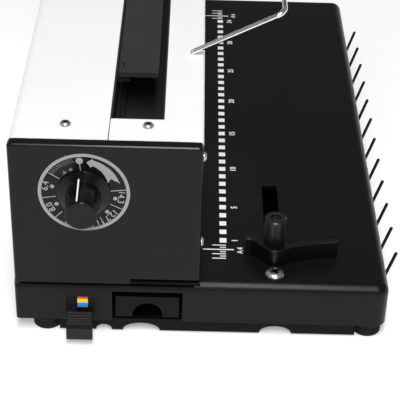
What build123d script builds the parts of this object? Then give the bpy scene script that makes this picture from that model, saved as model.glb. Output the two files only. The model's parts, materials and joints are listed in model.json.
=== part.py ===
"""Wire punching and binding machine for 3:1 pitch twin-loop wire.

The working frame has X = 0 at the middle of the base, Y = 0 on the row of hole marks on the
table, and Z = 0 on the desk.  +X is the operator's right, +Y is away from the operator.
The last step moves every piece so that the origin is the middle of the whole machine's
footprint on the desk.  All sizes are in millimetres, all angles in degrees.
"""
from build123d import *
from math import atan2, cos, degrees, radians, sin
import os

# ---------------------------------------------------------------- clearances
RUNNING_FIT = 0.05      # radial play of a shaft in its bush
LOOSE = 0.3             # play between pieces that move past each other
SEAT_PLAY = 0.15        # play round a piece that is fixed in a pocket

# ---------------------------------------------------------------- paper and punching
HOLE_COUNT = 34
PITCH = 25.4 / 3
HOLE_1_INSET = 42.8     # first hole mark from the left end of the base
LAST_HOLE_INSET = 41.0  # last hole mark from the right end of the base
PIN_SIDE = 4.0          # square hole size
PIN_LINE_Y = 38.0       # row of pins behind the front of the punching unit
EDGE_MARGIN = 4.5       # hole centre to the paper's edge

# ---------------------------------------------------------------- base
BASE_FRONT_Y = -93.6
BASE_REAR_Y = 117.0
TABLE_Z = 36.0
BASE_WALL = 2.6
BASE_CORNER_R = 7.0
BASE_REAR_CORNER_R = 2.0
BASE_EDGE_R = 6.0       # rolled edge of the table at the front and at both ends
BASE_BOTTOM_Z = 9.2
BASE_SCREW_INSET = 30.0
BASE_SCREW_FRONT = 17.0
BASE_SCREW_REAR = 20.0
PAN_SHEET = 1.5
PAN_INSET = 1.8
PAN_REAR_INSET = 9.0
PAN_SKIRT_Z = 1.1
DRAWER_ARCH = (43.5, 10.0)      # middle and half width of the skirt's arches
FRAME_ARCH = (67.3, 5.0)
GUIDE_ARCH_HALF = 9.2
SELECTOR_ARCH_HALF = 8.6
BOSS_R = 5.0
FOOT_R = 8.3
FOOT_GROOVE = 0.7
FOOT_EDGE = 10.0        # foot centre from the base's side and front faces
FOOT_REAR_EDGE = 17.0
FOOT_RELIEF = 0.6       # gap between a foot and the skirt cut away round it
FOOT_DISH_R = 4.6
FOOT_DISH_DEPTH = 3.0
TABLE_SCREW_R = 2.0
TABLE_SCREW_HEAD_R = 5.4
TABLE_SCREW_HEAD_T = 2.2
TABLE_SCREW_INSET = 11.9

# ---------------------------------------------------------------- punching unit housing
UNIT_FRONT_Y = 13.25
UNIT_REAR_Y = 116.6
UNIT_TOP_Z = 126.1
SIDE_SHEET = 2.4
SIDE_LIP = 5.8          # edge of the side plate that stays in view past the covers
SIDE_FLANGE = 14.0
SIDE_CORNER_R = 2.6
SIDE_BEND_R = 2.0
SIDE_SEAT_DEPTH = 2.0   # how far the side plate sits down into the base
COVER_SHEET = 1.2
COVER_SEAM = 0.5
COVER_FRONT_R = 2.0
COVER_REAR_R = 5.0
THROAT_HEIGHT = 3.2
THROAT_END_Y = 52.0
SEAM_Y = 63.5
TOP_SCREW_INSET = 20.6
TOP_SCREW_YS = (43.1, 87.3)
FRONT_SCREW_INSET = 11.0
FRONT_SCREW_ZS = (57.9, 113.9)
FRAME_SHEET = 3.0
FRAME_INSET = 18.6      # inner face of a frame from the end of the base

# ---------------------------------------------------------------- wire closing channel
CHANNEL_INSET = 27.9    # channel end from the end of the base
CHANNEL_FRONT_Y = 34.7
CHANNEL_DEPTH = 36.0
CHANNEL_WALL = 1.0
FINGER_RECESS = 51.4    # open length at the left end of the channel
SLOT_COVER_GAP = 4.6    # slot in front of the hinged cover
SLOT_COVER_T = 3.4
SLOT_COVER_END_GAP = 1.0
HINGE_PIN_R = 1.0
HINGE_PIN_REACH = 4.5   # pin each side of its ear
HINGE_INSET = 6.0       # ear from the end of the slot cover
HINGE_EAR = 5.0
HINGE_EAR_R = 1.6
HINGE_PLAY = 0.35       # behind the cover's round rear edge
JAW_BLADE_T = 2.6
JAW_TOP_BELOW = 19.0    # jaw top below the channel's mouth
JAW_HEIGHT = 15.0

# ---------------------------------------------------------------- drive
SHAFT_R = 5.0
SHAFT_Z = 64.0
LEVER_TRAVEL = 80.0
PUNCH_CRANK_R = 9.0
JAW_CRANK_R = 11.0
CRANK_PIN_R = 2.0
CRANK_BOSS_R = 3.2
CRANK_HUB_R = 8.5
CRANK_T = 6.0
CRANK_PIN_LENGTH = 8.0
FORK_PLAY = 0.5         # play of a crank pin across its fork
FORK_T = 5.0
FORK_PRONG = 3.0
PUNCH_CRANK_X = 95.0
JAW_CRANK_X = 116.0
JAW_ARM_T = 4.0

# ---------------------------------------------------------------- punch tools
DIE_FLANGE_T = 1.5
DIE_FLANGE_Y = 11.5     # half width of the die flange
DIE_WEB_Y = 6.5
DIE_DEPTH = 6.0
GUIDE_PLATE_T = 5.7
GUIDE_PLATE_Y = 9.0
PIN_TIP_ABOVE_TABLE = 4.0
PIN_SHANK = 21.5
PIN_HEAD_T = 2.0
PIN_HEAD_SIDE = 5.6
HOLDER_T = 2.5
HOLDER_LIP = 1.2
BAR_HEIGHT = 16.0
BAR_FRONT = 4.5         # pin line to the bar's front face
BAR_REAR = 4.2
POST_R = 4.0
POST_PITCH_FROM_PIN = 8.6

# ---------------------------------------------------------------- lever
REST_TILT = 30.0        # lever leans to the rear at rest
LEVER_T = 5.5
LEVER_GAP = 1.8
LEVER_HUB_R = 13.0
LEVER_SCREW_R = 2.5
LEVER_NECK_R = 8.0
LEVER_REACH = 104.0
GRIP_START = 84.0
GRIP_LENGTH = 92.0
GRIP_WIDE = 25.0
GRIP_THICK = 17.0

# ---------------------------------------------------------------- dial
DIAL_Y = 76.5
DIAL_Z = 96.4
DIAL_SKIRT_R = 14.4
DIAL_SKIRT_EDGE = 1.0
DIAL_SKIRT_T = 3.6
DIAL_HEIGHT = 21.6
DIAL_BODY_R = 9.6
DIAL_END_R = 8.5
DIAL_RIB_WIDE = 1.2
DIAL_RIB_PROUD = 0.9
DIAL_REST = 12.0        # pointer past twelve o'clock, anticlockwise seen from the left
DIAL_PUNCH_MARK = 6.0
DIAL_LAST_MARK = 262.0
DIAL_SHAFT_R = 3.0
CAM_R_MIN = 6.0
CAM_R_MAX = 11.0
CAM_T = 6.0
STOP_ARM_REACH = 29.7

# ---------------------------------------------------------------- drawer
DRAWER_Y0 = 24.6
DRAWER_Y1 = 60.6
DRAWER_TOP_Z = 25.3
DRAWER_FRONT_T = 2.4
DRAWER_FRONT_CUT = 1.5  # lower edge of the drawer's front above its floor
DRAWER_TRAVEL = 300.0
DRAWER_HELD = 30.0      # length still inside the base when the drawer is pulled out
DRAWER_WALL = 1.6
DRAWER_OPENING_TOP_Z = 29.9
DRAWER_OPENING_GAP = 1.8
NOTCH_R = 8.5
NOTCH_TOP_Z = 20.8
NOTCH_Y = 42.5

# ---------------------------------------------------------------- margin selector
SELECTOR_Y = 80.6
SELECTOR_WIDE = 13.9
SELECTOR_LIP_WIDE = 14.6
SELECTOR_LIP_Y = 80.2
SELECTOR_PLATE_Y0 = 63.4
SELECTOR_PLATE_Y1 = 89.6
SELECTOR_PLATE_Z0 = 10.0
SELECTOR_PLATE_Z1 = 23.0
SELECTOR_PLATE_T = 2.2
THUMB_SLOPE_DROP = 2.6
THUMB_LOW_Z = 4.8
THUMB_BLOCK_T = 3.4
RIB_COUNT = 5
LABEL_Y0 = 76.0
LABEL_Y1 = 81.9
LABEL_Z0 = 18.6
LABEL_Z1 = 25.8
SELECTOR_REACH = 12.4
SELECTOR_TOP_Z = 15.6
SELECTOR_LIFT = 4.8
GAUGE_TRAVEL = 4.0
STEM_WIDE = 5.4
STEM_Y = 85.0
SELECTOR_SLOT_TOP_Z = 25.6
GAUGE_T = 2.4
GAUGE_PIN_R = 1.5
GAUGE_PIN_Y = 68.0
GAUGE_PIN_Z = 19.0

# ---------------------------------------------------------------- edge guide
GUIDE_Y = -29.0
GUIDE_SLOT_WIDE = 9.4
GUIDE_X = 31.8          # clamp screw from the left end of the base, at rest
GUIDE_SLOT_X0 = 24.0
GUIDE_SLOT_X1 = 101.8
GUIDE_SLOT_R = 1.6
GUIDE_HEIGHT = 11.0
GUIDE_PAD = 4.0         # thickness under the clamp knob
GUIDE_STRIP = 3.0       # the raised bow
GUIDE_PAPER_X = 3.0     # straight face for the paper, from the clamp screw
GUIDE_STUD_R = 2.0
KNOB_R = 6.2
KNOB_TOP_Z = 61.0
KNOB_GROOVES = 6
KNOB_DISH_R = 3.1
KNOB_DISH_T = 1.5

# ---------------------------------------------------------------- wire hooks and document rest
HOOK_R = 1.0
HOOK_COUNT = 12
HOOK_LEVEL_Z = 6.0
HOOK_OUT_Y = -94.8
HOOK_TIP_Y = -101.9
HOOK_TIP_Z = 29.4
HOOK_BEND_R = 4.0
REST_ROD_R = 1.5
REST_FOOT_Y = 20.8
REST_LEG_LENGTH = 59.4
REST_SLOPE = 27.1
REST_LEFT_X = 102.0     # left leg from the left end of the base
REST_PEG = 15.0
REST_BEND_R = 6.0
REST_FOOT_R = 2.4
REST_FOOT_RISE = 1.5
SOCKET_R = 3.4

# ---------------------------------------------------------------- derived datums
BASE_LENGTH = HOLE_1_INSET + (HOLE_COUNT - 1) * PITCH + LAST_HOLE_INSET
HALF = BASE_LENGTH / 2
HOLE_1_X = HOLE_1_INSET - HALF
HOLE_XS = [HOLE_1_X + n * PITCH for n in range(HOLE_COUNT)]
HOLE_MID_X = (HOLE_XS[0] + HOLE_XS[-1]) / 2
FRAME_X = HALF - FRAME_INSET                      # inner face of the frames
FRAME_FLANGE = CHANNEL_INSET - FRAME_INSET - SEAT_PLAY
SHAFT_Y = PIN_LINE_Y + BAR_REAR + LOOSE + CRANK_BOSS_R + PUNCH_CRANK_R + 0.3
HALF_TRAVEL = LEVER_TRAVEL / 2
JAW_STROKE = 2 * JAW_CRANK_R * sin(radians(HALF_TRAVEL))
THROAT_TOP_Z = TABLE_Z + THROAT_HEIGHT
COVER_UNDER_Z = UNIT_TOP_Z - COVER_SHEET
CHANNEL_HALF = HALF - CHANNEL_INSET
CHANNEL_REAR_Y = SEAM_Y + COVER_SEAM
CHANNEL_FLOOR_Z = UNIT_TOP_Z - CHANNEL_DEPTH
GUIDE_PLATE_Z = THROAT_TOP_Z + 0.1
PIN_TIP_Z = TABLE_Z + PIN_TIP_ABOVE_TABLE
HOLDER_Z = PIN_TIP_Z + PIN_SHANK - HOLDER_T
BAR_Z = HOLDER_Z + HOLDER_T + PIN_HEAD_T
POST_X = (HOLE_XS[-1] - HOLE_XS[0]) / 2 + POST_PITCH_FROM_PIN
PAN_TOP_Z = BASE_BOTTOM_Z
PAN_UNDER_Z = PAN_TOP_Z - PAN_SHEET
HOOK_RAIL_Y = BASE_FRONT_Y + PAN_INSET + PAN_SHEET + 6
DRAWER_LENGTH = DRAWER_TRAVEL + DRAWER_HELD
KNOB_Z = TABLE_Z + GUIDE_PAD + LOOSE
KNOB_HEIGHT = KNOB_TOP_Z - KNOB_Z
SCREW_R = 1.5
THREAD_DEPTH = 8.0
FRAME_SCREW_X = FRAME_X - FRAME_FLANGE / 2
FRAME_SCREW_YS = (THROAT_END_Y + 6, UNIT_REAR_Y - 10)
TIE_Y = UNIT_REAR_Y - 12
TIE_Z = UNIT_TOP_Z - 22
STOP_X = -FRAME_X + 18
GAUGE_Y = PIN_LINE_Y + EDGE_MARGIN
GAUGE_Z = TABLE_Z + LOOSE
SELECTOR_PLATE_X = -HALF + BASE_WALL + LOOSE
COVER_AXIS_Y = CHANNEL_REAR_Y - CHANNEL_WALL - HINGE_PLAY - SLOT_COVER_T / 2
COVER_AXIS_Z = UNIT_TOP_Z - SLOT_COVER_T / 2
COVER_X0 = -CHANNEL_HALF + FINGER_RECESS
COVER_X1 = CHANNEL_HALF - CHANNEL_WALL - SLOT_COVER_END_GAP
JAW_REAR_Y = CHANNEL_REAR_Y - CHANNEL_WALL - LOOSE
JAW_TOP_Z = UNIT_TOP_Z - JAW_TOP_BELOW
JAW_ARM_X = JAW_CRANK_X + CRANK_T + 1.5
GUIDE_KEY = GUIDE_SLOT_WIDE / 2 - LOOSE


def block(x0, x1, y0, y1, z0, z1):
    """Rectangular solid between two corners."""
    size = Box(x1 - x0, y1 - y0, z1 - z0)
    return Pos((x0 + x1) / 2, (y0 + y1) / 2, (z0 + z1) / 2) * size


def rod_x(radius, x0, x1, y, z):
    """Round bar along X."""
    return Pos((x0 + x1) / 2, y, z) * Rot(0, 90, 0) * Cylinder(radius, x1 - x0)


def rod_y(radius, y0, y1, x, z):
    """Round bar along Y."""
    return Pos(x, (y0 + y1) / 2, z) * Rot(90, 0, 0) * Cylinder(radius, y1 - y0)


def rod_z(radius, z0, z1, x, y):
    """Round bar along Z."""
    return Pos(x, y, (z0 + z1) / 2) * Cylinder(radius, z1 - z0)


def prism_x(sketch, x0, x1):
    """Extrude a sketch drawn as (Y, Z) from x0 to x1."""
    return extrude(Pos(x0, 0, 0) * (Plane.YZ * sketch), amount=x1 - x0)


def polygon(points):
    """Closed face through the points."""
    return make_face(Polyline(*points, close=True))


def rounded_slab(x0, x1, y0, y1, z0, z1, radius):
    """Slab whose upright corners are rounded."""
    slab = block(x0, x1, y0, y1, z0, z1)
    return fillet(slab.edges().filter_by(Axis.Z), radius)


def pan_head_screw(head_r, head_h, shank_r, shank_length):
    """Cross-head screw along Z; the underside of its head is at Z = 0."""
    rim = head_h * 0.25
    profile = (Polyline((0, 0), (head_r, 0), (head_r, rim))
               + ThreePointArc((head_r, rim), (head_r * 0.8, head_h * 0.78), (head_r * 0.35, head_h))
               + Polyline((head_r * 0.35, head_h), (0, head_h), (0, 0)))
    head = revolve(Plane.XZ * make_face(profile), Axis.Z)
    recess = Box(head_r * 1.1, head_r * 0.2, head_h) + Box(head_r * 0.2, head_r * 1.1, head_h)
    recess += Cone(head_r * 0.1, head_r * 0.5, head_h * 1.2)
    head -= Pos(0, 0, head_h) * recess
    shank_r -= RUNNING_FIT
    return head + Pos(0, 0, -shank_length / 2) * Cylinder(shank_r, shank_length)


def group(pieces):
    """Several separate solids as one node."""
    return Compound(children=[piece for piece in pieces])


def mirrored(piece):
    """The same piece for the other end of the machine."""
    return mirror(piece, about=Plane.YZ)


# ================================================================ base
def base_shell():
    """Moulded base: table, walls, bosses and every opening in them."""
    body = block(-HALF, HALF, BASE_FRONT_Y, BASE_REAR_Y, BASE_BOTTOM_Z, TABLE_Z)
    body = fillet(body.edges().filter_by(Axis.Z).group_by(Axis.Y)[0], BASE_CORNER_R)
    rim = body.faces().sort_by(Axis.Z)[-1].edges().sort_by(Axis.Y)[:-1]
    body = fillet(rim, BASE_EDGE_R)
    body &= rounded_slab(-HALF, HALF, BASE_FRONT_Y - BASE_CORNER_R, BASE_REAR_Y, 0, TABLE_Z + 1,
                         BASE_REAR_CORNER_R)
    hollow = rounded_slab(-HALF + BASE_WALL, HALF - BASE_WALL, BASE_FRONT_Y + BASE_WALL,
                          BASE_REAR_Y - BASE_WALL, BASE_BOTTOM_Z - 1, TABLE_Z - BASE_WALL,
                          BASE_CORNER_R - BASE_WALL)
    body -= fillet(hollow.faces().sort_by(Axis.Z)[-1].edges(), BASE_EDGE_R - BASE_WALL)
    for x, y in base_screw_places():
        body += rod_z(BOSS_R, BASE_BOTTOM_Z, TABLE_Z - BASE_WALL, x, y)
        body -= rod_z(SCREW_R, BASE_BOTTOM_Z - 1, BASE_BOTTOM_Z + THREAD_DEPTH + 1, x, y)
    for x, y in frame_screw_places():
        body -= rod_z(SCREW_R, TABLE_Z - 2 * BASE_WALL, TABLE_Z + 1, x, y)
    body -= rod_z(TABLE_SCREW_R, TABLE_Z - 2 * BASE_WALL, TABLE_Z + 1, TABLE_SCREW_INSET - HALF, GUIDE_Y)
    # seats of the side plates and of the die
    for side in (-1, 1):
        outer = side * (HALF + 1)
        inner = side * (HALF - SIDE_SHEET - SEAT_PLAY)
        body -= block(min(outer, inner), max(outer, inner), UNIT_FRONT_Y - SEAT_PLAY,
                      UNIT_REAR_Y + 1, TABLE_Z - SIDE_SEAT_DEPTH, TABLE_Z + 1)
    reach = POST_X + POST_R
    body -= block(HOLE_MID_X - reach, HOLE_MID_X + reach, PIN_LINE_Y - DIE_FLANGE_Y - SEAT_PLAY,
                  PIN_LINE_Y + DIE_FLANGE_Y + SEAT_PLAY, TABLE_Z - DIE_FLANGE_T, TABLE_Z + 1)
    web = reach - DIE_WEB_Y
    body -= block(HOLE_MID_X - web, HOLE_MID_X + web, PIN_LINE_Y - DIE_WEB_Y - SEAT_PLAY,
                  PIN_LINE_Y + DIE_WEB_Y + SEAT_PLAY, TABLE_Z - DIE_DEPTH, TABLE_Z + 1)
    # drawer mouth and the hole behind it, open at the wall's lower edge
    body -= block(-HALF - 1, -HALF + 2 * BASE_WALL, DRAWER_Y0 - DRAWER_OPENING_GAP,
                  DRAWER_Y1 + DRAWER_OPENING_GAP, BASE_BOTTOM_Z - 1, DRAWER_OPENING_TOP_Z)
    # upright slot of the margin selector
    body -= block(-HALF - 1, -HALF + 2 * BASE_WALL, STEM_Y - STEM_WIDE / 2 - LOOSE,
                  STEM_Y + STEM_WIDE / 2 + LOOSE, BASE_BOTTOM_Z + 1.2, SELECTOR_SLOT_TOP_Z)
    # slot for the leg of the back gauge
    leg_x0, leg_x1, leg_y0, leg_y1 = gauge_leg()
    body -= block(leg_x0 - LOOSE, leg_x1 + LOOSE, leg_y0 - LOOSE, leg_y1 + GAUGE_TRAVEL + LOOSE,
                  TABLE_Z - 2 * BASE_WALL, TABLE_Z + 1)
    # slot of the edge guide
    slot = rounded_slab(GUIDE_SLOT_X0 - HALF, GUIDE_SLOT_X1 - HALF, GUIDE_Y - GUIDE_SLOT_WIDE / 2,
                        GUIDE_Y + GUIDE_SLOT_WIDE / 2, TABLE_Z - 2 * BASE_WALL, TABLE_Z + 1,
                        GUIDE_SLOT_R)
    return body - slot


def base_screw_places():
    """Bosses that carry the pan, clear of the drawer and of the guide."""
    front = BASE_FRONT_Y + BASE_SCREW_FRONT
    rear = BASE_REAR_Y - BASE_SCREW_REAR
    across = (-HALF + BASE_SCREW_INSET, 0, HALF - BASE_SCREW_INSET)
    return [(x, y) for x in across for y in (front, rear)]


def bottom_pan():
    """Sheet pan under the base, with an arched skirt along its left end."""
    x0, x1 = -HALF + PAN_INSET, HALF - PAN_INSET
    y0, y1 = BASE_FRONT_Y + PAN_INSET, BASE_REAR_Y - PAN_REAR_INSET
    corner_r = BASE_CORNER_R - PAN_INSET
    pan = rounded_slab(x0, x1, y0, y1, PAN_SKIRT_Z, PAN_TOP_Z, corner_r)
    pan -= rounded_slab(x0 + PAN_SHEET, x1 - PAN_SHEET, y0 + PAN_SHEET, y1 - PAN_SHEET,
                        PAN_SKIRT_Z - 1, PAN_UNDER_Z, corner_r - PAN_SHEET)
    arches = ((GUIDE_Y, GUIDE_ARCH_HALF), DRAWER_ARCH, FRAME_ARCH, (SELECTOR_Y, SELECTOR_ARCH_HALF))
    for centre, half_width in arches:
        arch = scale(Cylinder(1, 4 * PAN_SHEET), by=(PAN_UNDER_Z - PAN_SKIRT_Z, half_width, 1))
        pan -= Pos(x0, centre, PAN_SKIRT_Z) * Rot(0, 90, 0) * arch
    for x in hook_xs():
        pan -= rod_y(HOOK_R + LOOSE, y0 - 1, y0 + PAN_SHEET + 1, x, HOOK_LEVEL_Z)
    for x, y in base_screw_places():
        pan -= rod_z(SCREW_R + SEAT_PLAY, PAN_UNDER_Z - 1, PAN_TOP_Z + 1, x, y)
    for x, y in foot_places():
        pan -= rod_z(FOOT_R + FOOT_RELIEF, 0, PAN_UNDER_Z, x, y)
        pan -= rod_z(SCREW_R, PAN_UNDER_Z - 1, PAN_TOP_Z + 1, x, y)
    return pan


def pan_screws():
    """Screws that hold the pan to the base's bosses."""
    screw = Rot(180, 0, 0) * pan_head_screw(3.0, 1.8, SCREW_R, PAN_SHEET + THREAD_DEPTH)
    return group([Pos(x, y, PAN_UNDER_Z) * screw for x, y in base_screw_places()])


def foot_places():
    x = HALF - FOOT_EDGE
    ys = (BASE_FRONT_Y + FOOT_EDGE, BASE_REAR_Y - FOOT_REAR_EDGE)
    return [(side * x, y) for side in (-1, 1) for y in ys]


def rubber_feet():
    """Ringed rubber feet with a dished underside."""
    crest, groove = FOOT_R, FOOT_R - FOOT_GROOVE
    outline = polygon([(FOOT_DISH_R, 0), (groove, 0), (crest, 0.5), (crest, 1.7), (groove, 2.3),
                       (crest, 2.9), (crest, 4.1), (groove, 4.7), (crest, 5.3), (crest, PAN_UNDER_Z),
                       (SCREW_R, PAN_UNDER_Z), (SCREW_R, FOOT_DISH_DEPTH), (FOOT_DISH_R, FOOT_DISH_DEPTH)])
    foot = revolve(Plane.XZ * outline, Axis.Z)
    return group([Pos(x, y, 0) * foot for x, y in foot_places()])


def foot_screws():
    screw = Rot(180, 0, 0) * pan_head_screw(3.4, 1.8, SCREW_R, PAN_TOP_Z + 1 - FOOT_DISH_DEPTH)
    return group([Pos(x, y, FOOT_DISH_DEPTH) * screw for x, y in foot_places()])


# ================================================================ housing
def unit_outline(offset, front_r, rear_r):
    """Side view of the punching unit's housing, drawn in by an offset."""
    y0, y1 = UNIT_FRONT_Y + offset, UNIT_REAR_Y - offset
    z0, z1 = TABLE_Z - SIDE_SEAT_DEPTH, UNIT_TOP_Z - offset
    face = polygon([(y0, z0), (y1, z0), (y1, z1), (y0, z1)])
    top = face.vertices().sort_by(Axis.Y)[-2:].sort_by(Axis.X)
    face = fillet(top[0], front_r)
    return fillet(face.vertices().group_by(Axis.Y)[-1].sort_by(Axis.X)[-1], rear_r)


def side_plate_blank():
    """Left side plate with its flanges, before holes are cut."""
    out = unit_outline(0, SIDE_CORNER_R, SIDE_CORNER_R)
    plate = prism_x(out, -HALF, -HALF + SIDE_FLANGE)
    rim = plate.faces().sort_by(Axis.X)[0].edges()
    rim = [edge for edge in rim if edge.center().Z > TABLE_Z]
    plate = fillet(rim, SIDE_BEND_R)
    inside = prism_x(unit_outline(SIDE_SHEET, 0.5, COVER_REAR_R - SIDE_SHEET),
                     -HALF + SIDE_SHEET, -HALF + SIDE_FLANGE + 1)
    plate -= inside
    plate -= block(-HALF + SIDE_SHEET, -HALF + SIDE_FLANGE + 1, UNIT_FRONT_Y + SIDE_SHEET,
                   UNIT_REAR_Y - SIDE_SHEET, 0, TABLE_Z)
    # the flanges step down by the thickness of the covers that lie on them
    seat = COVER_SHEET + 0.1
    step = prism_x(unit_outline(-1, 1.0, COVER_REAR_R), -HALF + SIDE_LIP, -HALF + SIDE_FLANGE + 1)
    step -= prism_x(unit_outline(seat, 0.8, COVER_REAR_R - seat), -HALF, 0)
    plate -= step
    for z in FRONT_SCREW_ZS:
        plate -= rod_y(SCREW_R, UNIT_FRONT_Y - 1, UNIT_FRONT_Y + 2 * SIDE_SHEET,
                       FRONT_SCREW_INSET - HALF, z)
    # flanges end above the table, and the paper slot is open at the end
    plate -= block(-HALF + SIDE_SHEET, 0, 0, UNIT_REAR_Y + 1, 0, THROAT_TOP_Z)
    plate -= block(-HALF - 1, 0, 0, THROAT_END_Y, 0, THROAT_TOP_Z)
    return plate


def left_side_plate():
    plate = side_plate_blank()
    plate -= rod_x(DIAL_SHAFT_R + 2, -HALF - 1, -HALF + SIDE_SHEET + 1, DIAL_Y, DIAL_Z)
    return plate


def right_side_plate():
    plate = mirrored(side_plate_blank())
    return plate - rod_x(SHAFT_R + 2, HALF - SIDE_SHEET - 1, HALF + 1, SHAFT_Y, SHAFT_Z)


def frame_blank(x_inner):
    """Inner frame at the left end: web, top flange and foot flange."""
    x_outer = x_inner - FRAME_SHEET
    y0, y1 = UNIT_FRONT_Y + 3, UNIT_REAR_Y - 3.6
    top = COVER_UNDER_Z
    frame = block(x_outer, x_inner, y0, y1, THROAT_TOP_Z, top)
    frame += block(x_outer, x_inner, THROAT_END_Y, y1, TABLE_Z, THROAT_TOP_Z)
    frame += block(x_outer, x_inner + FRAME_FLANGE, y0 + 8, y1 - 3, top - FRAME_SHEET, top)
    frame += block(x_outer, x_inner + FRAME_FLANGE, THROAT_END_Y, y1, TABLE_Z, TABLE_Z + FRAME_SHEET)
    # relief for the rounded rear of the cover
    corner = block(x_outer - 1, x_inner + 1, y1 - 3, y1 + 1, top - 3, top + 1)
    frame -= corner
    window = block(x_outer - 1, x_inner + 1, UNIT_REAR_Y - 32, UNIT_REAR_Y - 14,
                   TABLE_Z + 14, DIAL_Z - 22)
    frame -= window
    for y in TOP_SCREW_YS:
        frame -= rod_z(SCREW_R, top - FRAME_SHEET - 1, top + 1, TOP_SCREW_INSET - HALF, y)
    for x, y in frame_screw_places():
        frame -= rod_z(SCREW_R, TABLE_Z - 1, TABLE_Z + FRAME_SHEET + 1, x, y)
    return frame


def left_frame():
    frame = frame_blank(-FRAME_X)
    frame -= rod_x(SHAFT_R + 2, -FRAME_X - 5, -FRAME_X + 1, SHAFT_Y, SHAFT_Z)
    return frame - rod_x(DIAL_SHAFT_R + RUNNING_FIT, -FRAME_X - 5, -FRAME_X + 1, DIAL_Y, DIAL_Z)


def right_frame():
    frame = mirrored(frame_blank(-FRAME_X))
    return frame - rod_x(SHAFT_R + 2, FRAME_X - 1, FRAME_X + 5, SHAFT_Y, SHAFT_Z)


def frame_screw_places():
    return [(side * FRAME_SCREW_X, y) for side in (-1, 1) for y in FRAME_SCREW_YS]


def frame_screws():
    """Screws that hold the frames down on the base."""
    screw = pan_head_screw(3.0, 1.8, SCREW_R, FRAME_SHEET + BASE_WALL)
    return group([Pos(x, y, TABLE_Z + FRAME_SHEET) * screw for x, y in frame_screw_places()])


def rear_tie_bar():
    """Round bar that holds the two frames apart."""
    return rod_x(4.0, -FRAME_X, FRAME_X, TIE_Y, TIE_Z)


def front_cover():
    """White front panel, folded over the top and round the ends of the channel."""
    x = HALF - SIDE_LIP - 0.6
    outer = polygon([(UNIT_FRONT_Y, THROAT_TOP_Z), (UNIT_FRONT_Y, UNIT_TOP_Z),
                     (SEAM_Y, UNIT_TOP_Z), (SEAM_Y, THROAT_TOP_Z)])
    inner = polygon([(UNIT_FRONT_Y + COVER_SHEET, 0), (UNIT_FRONT_Y + COVER_SHEET, COVER_UNDER_Z),
                     (SEAM_Y + 1, COVER_UNDER_Z), (SEAM_Y + 1, 0)])
    cover = prism_x(outer, -x, x)
    corner = cover.edges().filter_by(Axis.X).group_by(Axis.Z)[-1].sort_by(Axis.Y)[0]
    cover = fillet(corner, COVER_FRONT_R)
    cover -= prism_x(inner, -x - 1, x + 1)
    cover -= block(-CHANNEL_HALF, CHANNEL_HALF, CHANNEL_FRONT_Y, SEAM_Y + 1,
                   COVER_UNDER_Z - 1, UNIT_TOP_Z + 1)
    # lower edge folded to the rear, above the paper slot
    cover += block(-FRAME_X, FRAME_X, UNIT_FRONT_Y, PIN_LINE_Y - GUIDE_PLATE_Y - 0.1,
                   THROAT_TOP_Z, THROAT_TOP_Z + COVER_SHEET)
    for px in rest_xs():
        cover -= rod_z(REST_ROD_R + RUNNING_FIT, COVER_UNDER_Z - 1, UNIT_TOP_Z + 1, px, REST_FOOT_Y)
    for side in (-1, 1):
        cover -= rod_z(SCREW_R, COVER_UNDER_Z - 1, UNIT_TOP_Z + 1,
                       side * (HALF - TOP_SCREW_INSET), TOP_SCREW_YS[0])
        for z in FRONT_SCREW_ZS:
            cover -= rod_y(SCREW_R, UNIT_FRONT_Y - 1, UNIT_FRONT_Y + 2 * COVER_SHEET,
                           side * (HALF - FRONT_SCREW_INSET), z)
    return cover


def rear_cover():
    """White rear panel with a rounded rear edge."""
    x = HALF - SIDE_LIP - 0.6
    y0 = SEAM_Y + COVER_SEAM
    outer = polygon([(y0, TABLE_Z + 0.4), (y0, UNIT_TOP_Z), (UNIT_REAR_Y, UNIT_TOP_Z),
                     (UNIT_REAR_Y, TABLE_Z + 0.4)])
    cover = prism_x(outer, -x, x)
    corner = cover.edges().filter_by(Axis.X).group_by(Axis.Z)[-1].sort_by(Axis.Y)[-1]
    cover = fillet(corner, COVER_REAR_R)
    inner = polygon([(y0 - 1, 0), (y0 - 1, COVER_UNDER_Z), (UNIT_REAR_Y - COVER_SHEET, COVER_UNDER_Z),
                     (UNIT_REAR_Y - COVER_SHEET, 0)])
    hollow = prism_x(inner, -x - 1, x + 1)
    corner = hollow.edges().filter_by(Axis.X).group_by(Axis.Z)[-1].sort_by(Axis.Y)[-1]
    cover -= fillet(corner, COVER_REAR_R - COVER_SHEET)
    for side in (-1, 1):
        cover -= rod_z(SCREW_R, COVER_UNDER_Z - 1, UNIT_TOP_Z + 1,
                       side * (HALF - TOP_SCREW_INSET), TOP_SCREW_YS[1])
    return cover


def top_screws():
    """Chrome pan-head screws that hold both covers to the frames."""
    screw = pan_head_screw(3.1, 2.0, SCREW_R, COVER_SHEET + FRAME_SHEET)
    places = [(side * (HALF - TOP_SCREW_INSET), y) for side in (-1, 1) for y in TOP_SCREW_YS]
    return group([Pos(x, y, UNIT_TOP_Z) * Rot(0, 0, 25 * (n + 1)) * screw
                  for n, (x, y) in enumerate(places)])


def front_screws():
    """Chrome screws through the front panel into the side plates' flanges."""
    screw = Rot(90, 0, 0) * pan_head_screw(2.7, 1.6, SCREW_R, COVER_SHEET + SIDE_SHEET)
    places = [(side * (HALF - FRONT_SCREW_INSET), z) for side in (-1, 1) for z in FRONT_SCREW_ZS]
    return group([Pos(x, UNIT_FRONT_Y, z) * screw for x, z in places])


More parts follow.
